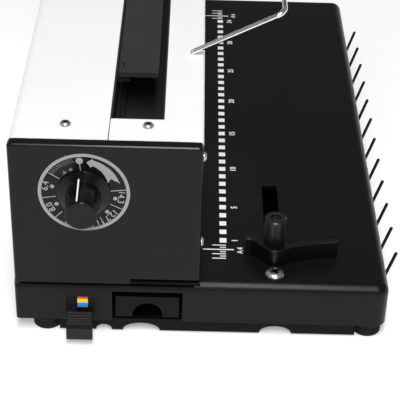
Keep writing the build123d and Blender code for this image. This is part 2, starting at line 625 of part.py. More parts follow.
# ================================================================ closing channel
def channel_trough():
    """Black trough that takes the bound wire, with ears for the cover's hinge pins."""
    y0, y1 = CHANNEL_FRONT_Y, CHANNEL_REAR_Y
    z0 = CHANNEL_FLOOR_Z - CHANNEL_WALL
    trough = block(-CHANNEL_HALF, CHANNEL_HALF, y0, y1, z0, COVER_UNDER_Z)
    trough -= block(-CHANNEL_HALF + CHANNEL_WALL, CHANNEL_HALF - CHANNEL_WALL, y0 + CHANNEL_WALL,
                    y1 - CHANNEL_WALL, CHANNEL_FLOOR_Z, UNIT_TOP_Z)
    for side in (-1, 1):
        arm = side * (JAW_ARM_X + JAW_ARM_T / 2)
        half = JAW_ARM_T / 2 + LOOSE
        trough -= block(arm - half, arm + half, JAW_REAR_Y - JAW_BLADE_T - JAW_STROKE - LOOSE,
                        y1 - CHANNEL_WALL, z0 - 1, CHANNEL_FLOOR_Z + 1)
        end = side * CHANNEL_HALF
        lug = side * (FRAME_X - 0.01)
        trough += block(min(end, lug), max(end, lug), y0, y1,
                        COVER_UNDER_Z - 2 * FRAME_SHEET, COVER_UNDER_Z - FRAME_SHEET)
    for x in ear_xs():
        ear = block(x, x + HINGE_EAR, COVER_AXIS_Y - HINGE_EAR_R, COVER_AXIS_Y + HINGE_EAR_R,
                    COVER_AXIS_Z - 6, COVER_AXIS_Z)
        ear += rod_x(HINGE_EAR_R, x, x + HINGE_EAR, COVER_AXIS_Y, COVER_AXIS_Z)
        shelf = block(x - 3, x + HINGE_EAR + 3, COVER_AXIS_Y - 5, y1 - CHANNEL_WALL / 2,
                      COVER_AXIS_Z - 6, UNIT_TOP_Z - SLOT_COVER_T - LOOSE)
        trough += ear + shelf
        trough -= rod_x(HINGE_PIN_R + 0.02, x - 1, x + HINGE_EAR + 1, COVER_AXIS_Y, COVER_AXIS_Z)
    return trough


def ear_xs():
    """Left faces of the two hinge ears, which stand in notches of the slot cover."""
    return [COVER_X0 + HINGE_INSET, COVER_X1 - HINGE_INSET - HINGE_EAR]


def hinge_pins():
    """Two short pins, one through each ear and into the slot cover on both sides."""
    return group([rod_x(HINGE_PIN_R, x - HINGE_PIN_REACH, x + HINGE_EAR + HINGE_PIN_REACH,
                        COVER_AXIS_Y, COVER_AXIS_Z) for x in ear_xs()])


def slot_cover():
    """Hinged black cover plate over the channel, rounded about its hinge."""
    y0 = CHANNEL_FRONT_Y + SLOT_COVER_GAP
    z0 = UNIT_TOP_Z - SLOT_COVER_T
    plate = block(COVER_X0, COVER_X1, y0, COVER_AXIS_Y, z0, UNIT_TOP_Z)
    front = plate.edges().filter_by(Axis.X).group_by(Axis.Y)[0].sort_by(Axis.Z)[-1]
    plate = fillet(front, 0.8)
    plate += rod_x(SLOT_COVER_T / 2, COVER_X0, COVER_X1, COVER_AXIS_Y, COVER_AXIS_Z)
    # bores open at the cover's ends, and notches round the ears
    bore = HINGE_PIN_R + RUNNING_FIT
    depth = HINGE_INSET + HINGE_EAR + HINGE_PIN_REACH + 1
    plate -= rod_x(bore, COVER_X0 - 1, COVER_X0 + depth, COVER_AXIS_Y, COVER_AXIS_Z)
    plate -= rod_x(bore, COVER_X1 - depth, COVER_X1 + 1, COVER_AXIS_Y, COVER_AXIS_Z)
    for x in ear_xs():
        plate -= block(x - LOOSE, x + HINGE_EAR + LOOSE, COVER_AXIS_Y - HINGE_EAR_R - LOOSE,
                       COVER_AXIS_Y + SLOT_COVER_T, z0 - 1, UNIT_TOP_Z + 1)
    return plate


def closing_jaw():
    """Full-length blade with two forked arms that reach down to the cranks."""
    y1 = JAW_REAR_Y
    y0 = y1 - JAW_BLADE_T
    end = CHANNEL_HALF - CHANNEL_WALL - 1.0
    jaw = block(-end, end, y0, y1, JAW_TOP_Z - JAW_HEIGHT, JAW_TOP_Z)
    top = jaw.edges().filter_by(Axis.X).group_by(Axis.Z)[-1].sort_by(Axis.Y)[0]
    jaw = chamfer(top, 1.2)
    pin_y = SHAFT_Y + JAW_CRANK_R * sin(radians(HALF_TRAVEL))
    pin_low = SHAFT_Z + JAW_CRANK_R * cos(radians(HALF_TRAVEL))
    half_slot = CRANK_PIN_R + FORK_PLAY
    slot_top = SHAFT_Z + JAW_CRANK_R + CRANK_PIN_R + FORK_PLAY
    pad = half_slot + FORK_PRONG
    for side in (-1, 1):
        x = side * (JAW_ARM_X + JAW_ARM_T / 2)
        x0, x1 = x - JAW_ARM_T / 2, x + JAW_ARM_T / 2
        jaw += block(x0, x1, y0, y1, slot_top, JAW_TOP_Z - JAW_HEIGHT)
        arm = block(x0, x1, pin_y - pad, pin_y + pad, pin_low - CRANK_PIN_R - 1, slot_top + 4)
        arm -= block(x0 - 1, x1 + 1, pin_y - half_slot, pin_y + half_slot, 0, slot_top)
        jaw += arm
    return jaw


# ================================================================ punch tools
def square_holes(side, x_list, y, z0, z1):
    """Row of square holes as cutting solids."""
    return [block(x - side / 2, x + side / 2, y - side / 2, y + side / 2, z0, z1) for x in x_list]


def die_plate():
    """T-shaped steel die, flush with the table."""
    reach = POST_X + POST_R - SEAT_PLAY
    web = reach - DIE_WEB_Y - SEAT_PLAY
    die = block(HOLE_MID_X - reach, HOLE_MID_X + reach, PIN_LINE_Y - DIE_FLANGE_Y,
                PIN_LINE_Y + DIE_FLANGE_Y, TABLE_Z - DIE_FLANGE_T, TABLE_Z)
    die += block(HOLE_MID_X - web, HOLE_MID_X + web, PIN_LINE_Y - DIE_WEB_Y,
                 PIN_LINE_Y + DIE_WEB_Y, TABLE_Z - DIE_DEPTH, TABLE_Z - DIE_FLANGE_T)
    cutters = square_holes(PIN_SIDE + 2 * RUNNING_FIT, HOLE_XS, PIN_LINE_Y,
                           TABLE_Z - DIE_DEPTH - 1, TABLE_Z + 1)
    return die - cutters


def guide_plate():
    """Plate above the paper slot that guides the pins and strips the paper."""
    plate = block(-FRAME_X, FRAME_X, PIN_LINE_Y - GUIDE_PLATE_Y, PIN_LINE_Y + GUIDE_PLATE_Y,
                  GUIDE_PLATE_Z, GUIDE_PLATE_Z + GUIDE_PLATE_T)
    cutters = square_holes(PIN_SIDE + 2 * RUNNING_FIT, HOLE_XS, PIN_LINE_Y, GUIDE_PLATE_Z - 1,
                           GUIDE_PLATE_Z + GUIDE_PLATE_T + 1)
    return plate - cutters


def guide_posts():
    """Two posts on which the pressure bar slides."""
    z0 = GUIDE_PLATE_Z + GUIDE_PLATE_T
    z1 = CHANNEL_FLOOR_Z - CHANNEL_WALL - 1
    return group([rod_z(POST_R, z0, z1, HOLE_MID_X + side * POST_X, PIN_LINE_Y) for side in (-1, 1)])


def punch_pins():
    """Square pins with a notched cutting end and a flat head."""
    half = PIN_SIDE / 2
    head = PIN_HEAD_SIDE / 2
    top = PIN_TIP_Z + PIN_SHANK
    pins = []
    for x in HOLE_XS:
        pin = block(x - half, x + half, PIN_LINE_Y - half, PIN_LINE_Y + half, PIN_TIP_Z, top)
        notch = polygon([(PIN_LINE_Y - half, PIN_TIP_Z - 0.01), (PIN_LINE_Y, PIN_TIP_Z + 1),
                         (PIN_LINE_Y + half, PIN_TIP_Z - 0.01)])
        pin -= prism_x(notch, x - half - 1, x + half + 1)
        pin += block(x - head, x + head, PIN_LINE_Y - head, PIN_LINE_Y + head, top, top + PIN_HEAD_T)
        pins.append(pin)
    return group(pins)


def pin_holder():
    """Channel under the pressure bar that carries the pins by their heads."""
    x0, x1 = HOLE_XS[0] - PIN_HEAD_SIDE / 2 - 1, HOLE_XS[-1] + PIN_HEAD_SIDE / 2 + 1
    y0, y1 = PIN_LINE_Y - BAR_FRONT, PIN_LINE_Y + BAR_REAR
    holder = block(x0, x1, y0, y1, HOLDER_Z, BAR_Z)
    holder -= block(x0 - 1, x1 + 1, y0 + HOLDER_LIP, y1 - HOLDER_LIP, HOLDER_Z + HOLDER_T, BAR_Z + 1)
    cutters = square_holes(PIN_SIDE + 2 * RUNNING_FIT, HOLE_XS, PIN_LINE_Y, HOLDER_Z - 1, BAR_Z)
    return holder - cutters


def pressure_bar():
    """Steel bar that drives all the pins, with two forks for the cranks."""
    end = FRAME_X - 6
    y1 = PIN_LINE_Y + BAR_REAR
    bar = block(-end, end, PIN_LINE_Y - BAR_FRONT, y1, BAR_Z, BAR_Z + BAR_HEIGHT)
    for side in (-1, 1):
        bar -= rod_z(POST_R + RUNNING_FIT, BAR_Z - 1, BAR_Z + BAR_HEIGHT + 1,
                     HOLE_MID_X + side * POST_X, PIN_LINE_Y)
        ear = side * (POST_X)
        bar += rod_z(POST_R + 3.5, BAR_Z, BAR_Z + BAR_HEIGHT, HOLE_MID_X + ear, PIN_LINE_Y)
        bar -= rod_z(POST_R + RUNNING_FIT, BAR_Z - 1, BAR_Z + BAR_HEIGHT + 1,
                     HOLE_MID_X + ear, PIN_LINE_Y)
    pin_z = SHAFT_Z + PUNCH_CRANK_R * sin(radians(HALF_TRAVEL))
    half_slot = CRANK_PIN_R + FORK_PLAY
    half_fork = half_slot + FORK_PRONG
    fork_end = SHAFT_Y - SHAFT_R - 2 * LOOSE
    slot_start = SHAFT_Y - PUNCH_CRANK_R - CRANK_PIN_R - LOOSE
    for side in (-1, 1):
        x = side * (PUNCH_CRANK_X + CRANK_T + 1.5 + FORK_T / 2)
        x0, x1 = x - FORK_T / 2, x + FORK_T / 2
        fork = block(x0, x1, y1, fork_end, pin_z - half_fork, pin_z + half_fork)
        fork -= block(x0 - 1, x1 + 1, slot_start, fork_end + 1, pin_z - half_slot, pin_z + half_slot)
        bar += fork
    return bar


# ================================================================ drive
def main_shaft():
    """Shaft through both frames; its right end carries the lever."""
    end = HALF + LEVER_GAP + LEVER_T
    shaft = rod_x(SHAFT_R, -FRAME_X - FRAME_SHEET - 2, end, SHAFT_Y, SHAFT_Z)
    return shaft - rod_x(LEVER_SCREW_R, end - THREAD_DEPTH - 1, end + 1, SHAFT_Y, SHAFT_Z)


def shaft_bushes():
    """Flanged bushes in the frames."""
    pieces = []
    for side in (-1, 1):
        inner, outer = side * FRAME_X, side * (FRAME_X + FRAME_SHEET)
        flange = side * (FRAME_X - 2)
        bush = rod_x(SHAFT_R + 2, min(inner, outer), max(inner, outer), SHAFT_Y, SHAFT_Z)
        bush += rod_x(SHAFT_R + 3.5, min(inner, flange), max(inner, flange), SHAFT_Y, SHAFT_Z)
        bush -= rod_x(SHAFT_R + RUNNING_FIT, min(outer, flange) - 1, max(outer, flange) + 1,
                      SHAFT_Y, SHAFT_Z)
        pieces.append(bush)
    return group(pieces)


def crank(x, side, radius, angle):
    """Crank on the shaft: hub, arm and pin.  The angle is from -Y towards +Z."""
    reach = CRANK_T + CRANK_PIN_LENGTH
    arm = rod_x(CRANK_HUB_R, x, x + CRANK_T, 0, 0)
    web = polygon([(0, -CRANK_HUB_R * 0.8), (0, CRANK_HUB_R * 0.8), (-radius, CRANK_BOSS_R),
                   (-radius, -CRANK_BOSS_R)])
    arm += prism_x(web, x, x + CRANK_T)
    arm += rod_x(CRANK_BOSS_R, x, x + CRANK_T, -radius, 0)
    arm += rod_x(CRANK_PIN_R, x, x + reach, -radius, 0)
    arm -= rod_x(SHAFT_R, x - 1, x + CRANK_T + 1, 0, 0)
    arm = Rot(-angle, 0, 0) * arm
    if side < 0:
        arm = mirrored(arm)
    return Pos(0, SHAFT_Y, SHAFT_Z) * arm


def drive_cranks():
    """Two cranks for the punch and two for the closing jaw."""
    punch = [crank(PUNCH_CRANK_X, side, PUNCH_CRANK_R, HALF_TRAVEL) for side in (-1, 1)]
    jaw = [crank(JAW_CRANK_X, side, JAW_CRANK_R, 90 + HALF_TRAVEL) for side in (-1, 1)]
    return group(punch + jaw)


def stop_arm():
    """Arm behind the shaft that the dial's cam can stop."""
    rest = HALF_TRAVEL + 42 - LEVER_TRAVEL
    arm = rod_x(CRANK_HUB_R, STOP_X, STOP_X + CAM_T, 0, 0)
    arm += block(STOP_X, STOP_X + CAM_T, 0, STOP_ARM_REACH - 3, -3, 3)
    arm += rod_x(3.0, STOP_X, STOP_X + CAM_T, STOP_ARM_REACH - 3, 0)
    arm -= rod_x(SHAFT_R, STOP_X - 1, STOP_X + CAM_T + 1, 0, 0)
    return Pos(0, SHAFT_Y, SHAFT_Z) * Rot(rest - HALF_TRAVEL, 0, 0) * arm


def return_spring():
    """Torsion spring round the shaft that lifts the lever again."""
    wire = 0.8
    coil_r = SHAFT_R + LOOSE + wire
    turns = 4
    path = Helix(2 * wire + 0.5, turns * (2 * wire + 0.5), coil_r)
    section = Plane(path @ 0, z_dir=path % 0) * Circle(wire)
    coil = sweep(section, path)
    return Pos(FRAME_X - 24, SHAFT_Y, SHAFT_Z) * Rot(0, 90, 0) * coil


def lever_arm():
    """Flat steel lever with a round hub; drawn upright, then tilted to the rear."""
    x0 = HALF + LEVER_GAP
    x1 = x0 + LEVER_T
    blade = polygon([(-LEVER_HUB_R * 0.98, 4), (-LEVER_NECK_R, LEVER_REACH - 20),
                     (-LEVER_NECK_R, GRIP_START + GRIP_LENGTH - 14),
                     (LEVER_NECK_R, GRIP_START + GRIP_LENGTH - 14),
                     (LEVER_NECK_R, LEVER_REACH - 20), (LEVER_HUB_R * 0.98, 4)])
    arm = prism_x(blade, x0, x1) + rod_x(LEVER_HUB_R, x0, x1, 0, 0)
    arm -= rod_x(SHAFT_R, x0 - 1, x1 + 1, 0, 0)
    return Pos(0, SHAFT_Y, SHAFT_Z) * Rot(-REST_TILT, 0, 0) * arm


def lever_grip():
    """Moulded grip, oval in section and swelling towards its middle."""
    middle = HALF + LEVER_GAP + LEVER_T / 2
    stations = ((0.0, 0.86), (0.12, 1.0), (0.5, 1.1), (0.86, 1.0), (1.0, 0.82))
    rings = [Pos(middle, 0, GRIP_START + s * GRIP_LENGTH) * Ellipse(GRIP_THICK / 2 * k, GRIP_WIDE / 2 * k)
             for s, k in stations]
    grip = loft(rings)
    grip = fillet(grip.faces().sort_by(Axis.Z)[-1].edges(), 4)
    tang = block(middle - LEVER_T / 2, middle + LEVER_T / 2, -LEVER_NECK_R, LEVER_NECK_R,
                 GRIP_START - 1, GRIP_START + GRIP_LENGTH - 14)
    return Pos(0, SHAFT_Y, SHAFT_Z) * Rot(-REST_TILT, 0, 0) * (grip - tang)


def lever_screw():
    """Washer-head screw in the end of the shaft."""
    x = HALF + LEVER_GAP + LEVER_T
    screw = Rot(0, 90, 0) * (pan_head_screw(5.0, 3.0, LEVER_SCREW_R, THREAD_DEPTH)
                              + Pos(0, 0, 0.5) * Cylinder(7.5, 1.0))
    return Pos(x, SHAFT_Y, SHAFT_Z) * screw


# ================================================================ dial
def dial_knob():
    """Round drafted knob on a conical skirt, with a thin pointer rib along one side."""
    profile = polygon([(0, 0), (DIAL_SKIRT_R, 0), (DIAL_SKIRT_R, DIAL_SKIRT_EDGE),
                       (DIAL_BODY_R, DIAL_SKIRT_T), (DIAL_END_R, DIAL_HEIGHT), (0, DIAL_HEIGHT)])
    knob = revolve(Plane.XZ * profile, Axis.Z)
    knob = fillet(knob.faces().sort_by(Axis.Z)[-1].edges(), 0.8)
    rib_z0, rib_z1 = DIAL_SKIRT_T - 1, DIAL_HEIGHT - 0.5
    rib = polygon([(DIAL_END_R / 2, rib_z0), (DIAL_BODY_R + DIAL_RIB_PROUD, rib_z0),
                   (DIAL_END_R + DIAL_RIB_PROUD, rib_z1), (DIAL_END_R / 2, rib_z1)])
    knob += prism_x(rib, -DIAL_RIB_WIDE / 2, DIAL_RIB_WIDE / 2)
    knob -= Pos(0, 0, 5) * Cylinder(DIAL_SHAFT_R, 10.01)
    # local +Z points out of the machine, local +Y is the pointer
    placed = Plane(origin=(-HALF - LOOSE, DIAL_Y, DIAL_Z), x_dir=(0, -1, 0), z_dir=(-1, 0, 0))
    return placed * Rot(0, 0, DIAL_REST) * knob


def dial_bush():
    """Bush that carries the dial shaft in the side plate."""
    x0 = -HALF
    bush = rod_x(DIAL_SHAFT_R + 2, x0, x0 + SIDE_SHEET, DIAL_Y, DIAL_Z)
    bush += rod_x(DIAL_SHAFT_R + 3.4, x0 + SIDE_SHEET, x0 + SIDE_SHEET + 2, DIAL_Y, DIAL_Z)
    return bush - rod_x(DIAL_SHAFT_R + RUNNING_FIT, x0 - 1, x0 + SIDE_SHEET + 3, DIAL_Y, DIAL_Z)


def dial_shaft():
    return rod_x(DIAL_SHAFT_R, -HALF - LOOSE - 10, STOP_X + CAM_T + 4, DIAL_Y, DIAL_Z)


def stop_cam():
    """Spiral cam whose radius sets how far the jaw may close."""
    steps = 28
    sweep_angle = DIAL_LAST_MARK - DIAL_PUNCH_MARK
    points = []
    for n in range(steps + 1):
        share = n / steps
        angle = radians(-90 + sweep_angle * share)
        radius = CAM_R_MIN + (CAM_R_MAX - CAM_R_MIN) * share
        points.append((radius * cos(angle), radius * sin(angle)))
    outline = Spline(*points) + Line(points[-1], points[0])
    cam = prism_x(make_face(outline), STOP_X, STOP_X + CAM_T)
    cam += rod_x(CAM_R_MIN, STOP_X, STOP_X + CAM_T, 0, 0)
    cam -= rod_x(DIAL_SHAFT_R, STOP_X - 1, STOP_X + CAM_T + 1, 0, 0)
    return Pos(0, DIAL_Y, DIAL_Z) * cam


# ================================================================ drawer, selector and gauge
def waste_drawer():
    """Long chip drawer with a half-round finger notch in its front."""
    x0, x1 = -HALF + 1.5, -HALF + 1.5 + DRAWER_LENGTH
    z0 = BASE_BOTTOM_Z + LOOSE
    drawer = block(x0, x1, DRAWER_Y0, DRAWER_Y1, z0, DRAWER_TOP_Z)
    front = DRAWER_FRONT_T
    drawer -= block(x0 + 14, x1 - DRAWER_WALL, DRAWER_Y0 + DRAWER_WALL, DRAWER_Y1 - DRAWER_WALL,
                    z0 + DRAWER_WALL, DRAWER_TOP_Z + 1)
    # finger space behind the front plate, open below
    drawer -= block(x0 + front, x0 + 12.4, DRAWER_Y0 + DRAWER_WALL, DRAWER_Y1 - DRAWER_WALL,
                    z0 - 1, DRAWER_TOP_Z - 2.4)
    drawer -= block(x0 - 1, x0 + front + 1, DRAWER_Y0 - 1, DRAWER_Y1 + 1, z0 - 1,
                    z0 + DRAWER_FRONT_CUT)
    notch = rod_x(NOTCH_R, x0 - 1, x0 + front + 1, NOTCH_Y, NOTCH_TOP_Z - NOTCH_R)
    return drawer - notch


def drawer_runners():
    """Angle strips on the pan that keep the drawer straight."""
    x0, x1 = -HALF + 30, -HALF + 30 + DRAWER_LENGTH - 40
    z0 = BASE_BOTTOM_Z
    front = block(x0, x1, DRAWER_Y0 - LOOSE - 1.5, DRAWER_Y0 - LOOSE, z0, z0 + 8)
    rear = block(x0, x1, DRAWER_Y1 + LOOSE, DRAWER_Y1 + LOOSE + 1.5, z0, z0 + 8)
    foot_f = block(x0, x1, DRAWER_Y0 - LOOSE - 7, DRAWER_Y0 - LOOSE - 1.5, z0, z0 + 1.5)
    foot_r = block(x0, x1, DRAWER_Y1 + LOOSE + 1.5, DRAWER_Y1 + LOOSE + 4, z0, z0 + 1.5)
    return group([front + foot_f, rear + foot_r])


def gauge_leg():
    """Footprint of the gauge's leg: x0, x1, y0, y1."""
    return (-HALF + 8.0, -HALF + 13.0, GAUGE_PIN_Y - 3, GAUGE_PIN_Y + 3)


def back_gauge():
    """Stop for the paper's edge, moved to the rear by the margin selector."""
    x0, x1, y0, y1 = gauge_leg()
    z1 = GAUGE_Z + GAUGE_T
    end = POST_X
    gauge = block(x0, end, GAUGE_Y, GAUGE_Y + 4.5, GAUGE_Z, z1)
    gauge += block(x0, x1, GAUGE_Y, y1, GAUGE_Z, z1)
    gauge += block(x0, x1, y0, y1, GAUGE_PIN_Z - 3, z1)
    gauge += rod_x(GAUGE_PIN_R, SELECTOR_PLATE_X, x0, GAUGE_PIN_Y, GAUGE_PIN_Z)
    return gauge


def margin_selector():
    """Ribbed thumb piece on a stem, with a plate whose slanted slot moves the gauge."""
    plate = block(SELECTOR_PLATE_X, SELECTOR_PLATE_X + SELECTOR_PLATE_T, SELECTOR_PLATE_Y0,
                  SELECTOR_PLATE_Y1, SELECTOR_PLATE_Z0, SELECTOR_PLATE_Z1)
    # slanted slot, from the gauge pin at rest to the gauge pin when lifted
    slot_r = GAUGE_PIN_R + LOOSE
    run = (GAUGE_TRAVEL ** 2 + SELECTOR_LIFT ** 2) ** 0.5
    slope = degrees(atan2(SELECTOR_LIFT, GAUGE_TRAVEL))
    slot = block(-5, 5, 0, run, -slot_r, slot_r)
    slot += rod_x(slot_r, -5, 5, 0, 0) + rod_x(slot_r, -5, 5, run, 0)
    plate -= Pos(SELECTOR_PLATE_X, GAUGE_PIN_Y, GAUGE_PIN_Z) * Rot(-slope, 0, 0) * slot
    stem = block(-HALF - 1.0, SELECTOR_PLATE_X, STEM_Y - STEM_WIDE / 2, STEM_Y + STEM_WIDE / 2,
                 BASE_BOTTOM_Z + 1.6, SELECTOR_TOP_Z)
    return plate + stem + thumb_piece()


def thumb_piece():
    """Tongue that slopes out and down to a wider upright end block."""
    x_in, x_out = -HALF - 2 * LOOSE, -HALF - SELECTOR_REACH
    top = SELECTOR_TOP_Z
    low = top - THUMB_SLOPE_DROP
    bottom = THUMB_LOW_Z
    x_block = x_out + THUMB_BLOCK_T
    side_view = polygon([(x_in, top), (x_block, low), (x_out, low - 0.6), (x_out, bottom),
                         (x_block - 0.8, bottom), (x_block, low - 3.2), (x_in, BASE_BOTTOM_Z + 1.6)])
    tongue = extrude(Pos(0, SELECTOR_Y + SELECTOR_WIDE / 2, 0) * (Plane.XZ * side_view),
                     amount=SELECTOR_WIDE)
    block_view = polygon([(x_out, low - 0.6), (x_block, low - 0.2), (x_block - 0.8, bottom),
                          (x_out, bottom)])
    tongue += extrude(Pos(0, SELECTOR_LIP_Y + SELECTOR_LIP_WIDE / 2, 0) * (Plane.XZ * block_view),
                      amount=SELECTOR_LIP_WIDE)
    # ribs across the sloping top
    for n in range(RIB_COUNT):
        share = (n + 0.7) / RIB_COUNT
        x = x_in - (x_in - x_block) * share
        z = top - THUMB_SLOPE_DROP * share
        tongue += rod_y(0.45, SELECTOR_Y - SELECTOR_WIDE / 2, SELECTOR_Y + SELECTOR_WIDE / 2, x, z)
    return tongue


def setting_label():
    """Small plate beside the selector's slot for the setting colours."""
    return block(-HALF - 0.3, -HALF, LABEL_Y0, LABEL_Y1, LABEL_Z0, LABEL_Z1)


# ================================================================ edge guide
def guide_face(shift_x):
    """Outline of the edge guide, its bow moved by shift_x."""
    x = GUIDE_X - HALF
    paper_x = x + GUIDE_PAPER_X
    bow = [(-2.5, 16.6), (-3.0, 12.1), (-5.4, 9.6), (-8.9, 6.6), (-12.4, 3.1), (-13.4, 0.2), (-12.7, -2.8),
           (-10.0, -7.2), (-8.0, -11.3), (-6.4, -16.3), (-4.4, -26.1), (-3.0, -36.2)]
    points = [(x + shift_x + dx, GUIDE_Y + dy) for dx, dy in bow]
    return make_face(Spline(*points) + Polyline(points[-1], (paper_x + shift_x, points[-1][1]),
                                                (paper_x + shift_x, points[0][1]), points[0]))


def edge_guide():
    """Guide with a raised bow round its clamp knob and a straight face for the paper."""
    x = GUIDE_X - HALF
    z0 = TABLE_Z + LOOSE
    guide = extrude(Pos(0, 0, z0) * guide_face(0), amount=GUIDE_HEIGHT - LOOSE)
    guide -= extrude(Pos(0, 0, TABLE_Z + GUIDE_PAD) * guide_face(GUIDE_STRIP), amount=GUIDE_HEIGHT)
    guide = chamfer(guide.faces().sort_by(Axis.Z)[-1].edges(), 0.3)
    guide += rounded_slab(x - 4, x + GUIDE_PAPER_X - SEAT_PLAY, GUIDE_Y - GUIDE_KEY, GUIDE_Y + GUIDE_KEY,
                          TABLE_Z - BASE_WALL + LOOSE, z0 + 1, GUIDE_SLOT_R)
    return guide - rod_z(GUIDE_STUD_R + RUNNING_FIT, 0, UNIT_TOP_Z, x, GUIDE_Y)


def guide_knob():
    """Grooved clamp knob with a dished top."""
    knob = Pos(0, 0, KNOB_HEIGHT / 2) * Cylinder(KNOB_R, KNOB_HEIGHT)
    knob = chamfer(knob.faces().sort_by(Axis.Z)[-1].edges(), 0.6)
    groove = Pos(KNOB_R + 0.3, 0, KNOB_HEIGHT / 2 - 1.8) * Cylinder(0.9, KNOB_HEIGHT)
    for n in range(KNOB_GROOVES):
        knob -= Rot(0, 0, 360 / KNOB_GROOVES * n) * groove
    knob -= rod_z(KNOB_DISH_R, KNOB_HEIGHT - KNOB_DISH_T, KNOB_HEIGHT + 1, 0, 0)
    knob -= rod_z(GUIDE_STUD_R, -1, KNOB_HEIGHT - KNOB_DISH_T - 1, 0, 0)
    return Pos(GUIDE_X - HALF, GUIDE_Y, KNOB_Z) * knob


def guide_stud():
    """Threaded stud that turns with the knob."""
    z1 = KNOB_TOP_Z - KNOB_DISH_T - 1.5
    return rod_z(GUIDE_STUD_R, TABLE_Z - BASE_WALL - 5.4, z1, GUIDE_X - HALF, GUIDE_Y)


def guide_nut():
    """Square clamp nut under the table."""
    x = GUIDE_X - HALF
    z1 = TABLE_Z - BASE_WALL - LOOSE
    nut = block(x - 6, x + 6, GUIDE_Y - 8, GUIDE_Y + 8, z1 - 4, z1)
    return nut - rod_z(GUIDE_STUD_R + RUNNING_FIT, 0, UNIT_TOP_Z, x, GUIDE_Y)


def table_screws():
    """Large pan-head screw at the left end of the table."""
    screw = pan_head_screw(TABLE_SCREW_HEAD_R, TABLE_SCREW_HEAD_T, TABLE_SCREW_R, BASE_WALL)
    return Pos(TABLE_SCREW_INSET - HALF, GUIDE_Y, TABLE_Z) * Rot(0, 0, 30) * screw


# ================================================================ hooks and document rest
def hook_xs():
    step = (HOLE_XS[-1] - HOLE_XS[0]) / (HOOK_COUNT - 1)
    return [HOLE_XS[0] + n * step for n in range(HOOK_COUNT)]


def hook_rail():
    """Strip under the base that carries the hooks."""
    return block(HOLE_XS[0] - 6, HOLE_XS[-1] + 6, HOOK_RAIL_Y, HOOK_RAIL_Y + 3, HOOK_LEVEL_Z - 2.6,
                 PAN_UNDER_Z)


def wire_hooks():
    """Bent wire pegs that hold the loops of the wire while the sheets go on."""
    hooks = []
    for x in hook_xs():
        path = FilletPolyline((x, HOOK_RAIL_Y, HOOK_LEVEL_Z), (x, HOOK_OUT_Y, HOOK_LEVEL_Z),
                              (x, HOOK_TIP_Y, HOOK_TIP_Z), radius=HOOK_BEND_R)
        hook = sweep(Plane(path @ 0, z_dir=path % 0) * Circle(HOOK_R), path)
        hook += Pos(x, HOOK_TIP_Y, HOOK_TIP_Z) * Sphere(HOOK_R)
        hooks.append(hook)
    return group(hooks)


def rest_xs():
    """The two legs of the document rest."""
    x = HALF - REST_LEFT_X
    return [-x, x]


def document_rest():
    """Bent rod that plugs into the top of the front panel and slopes out over the table."""
    x0, x1 = rest_xs()
    reach = REST_LEG_LENGTH * cos(radians(REST_SLOPE))
    rise = REST_LEG_LENGTH * sin(radians(REST_SLOPE))
    foot = UNIT_TOP_Z + REST_FOOT_RISE
    peg = UNIT_TOP_Z - REST_PEG
    y_far, z_far = REST_FOOT_Y - reach, foot + rise
    path = FilletPolyline((x0, REST_FOOT_Y, peg), (x0, REST_FOOT_Y, foot), (x0, y_far, z_far),
                          (x1, y_far, z_far), (x1, REST_FOOT_Y, foot), (x1, REST_FOOT_Y, peg),
                          radius=[REST_FOOT_R, REST_BEND_R, REST_BEND_R, REST_FOOT_R])
    return sweep(Plane(path @ 0, z_dir=path % 0) * Circle(REST_ROD_R), path)


def rest_sockets():
    """Sockets under the front panel for the legs of the document rest."""
    z1 = COVER_UNDER_Z
    z0 = UNIT_TOP_Z - REST_PEG - 2
    socket = rod_z(SOCKET_R, z0, z1, 0, 0) - rod_z(REST_ROD_R + RUNNING_FIT, z0 + 1.5, z1 + 1, 0, 0)
    socket += rod_z(SOCKET_R + 2, z1 - 1.2, z1, 0, 0) - rod_z(REST_ROD_R + RUNNING_FIT, 0, z1 + 1, 0, 0)
    return group([Pos(x, REST_FOOT_Y, 0) * socket for x in rest_xs()])


# ================================================================ assembly
MAKERS = [base_shell, bottom_pan, pan_screws, rubber_feet, foot_screws, left_side_plate, right_side_plate,
          left_frame, right_frame, rear_tie_bar, front_cover, rear_cover, frame_screws,
          top_screws, front_screws, channel_trough, hinge_pins, slot_cover, closing_jaw,
          die_plate, guide_plate, guide_posts, punch_pins, pin_holder, pressure_bar, main_shaft,
          shaft_bushes, drive_cranks, stop_arm, return_spring, lever_arm, lever_grip,
          lever_screw, dial_knob, dial_bush, dial_shaft, stop_cam, waste_drawer, drawer_runners,
          back_gauge, margin_selector, setting_label, edge_guide, guide_knob, guide_stud,
          guide_nut, table_screws, hook_rail, wire_hooks, document_rest, rest_sockets]


def footprint_shift(pieces):
    """Vector that brings the middle of the footprint to the origin."""
    boxes = [piece.bounding_box() for piece in pieces]
    x = (min(b.min.X for b in boxes) + max(b.max.X for b in boxes)) / 2
    y = (min(b.min.Y for b in boxes) + max(b.max.Y for b in boxes)) / 2
    return (-x, -y, -min(b.min.Z for b in boxes))


NODES = {maker.__name__: maker() for maker in MAKERS}
SHIFT = footprint_shift(NODES.values())

os.makedirs("parts", exist_ok=True)
for name, piece in NODES.items():
    NODES[name] = Pos(*SHIFT) * piece
    export_step(NODES[name], f"parts/{name}.step")
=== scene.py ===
"""Looks of the wire punching and binding machine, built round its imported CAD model.

Lengths are in metres unless a name ends in _MM.  Most places are worked out from the boxes
of the CAD nodes.  The helper point() takes machine coordinates in millimetres: X to the
operator's right from the first hole mark, Y to the rear from the row of marks, and Z up
from the table.
"""
import json
from math import cos, pi, radians, sin

import bmesh
import bpy
from mathutils import Matrix, Vector


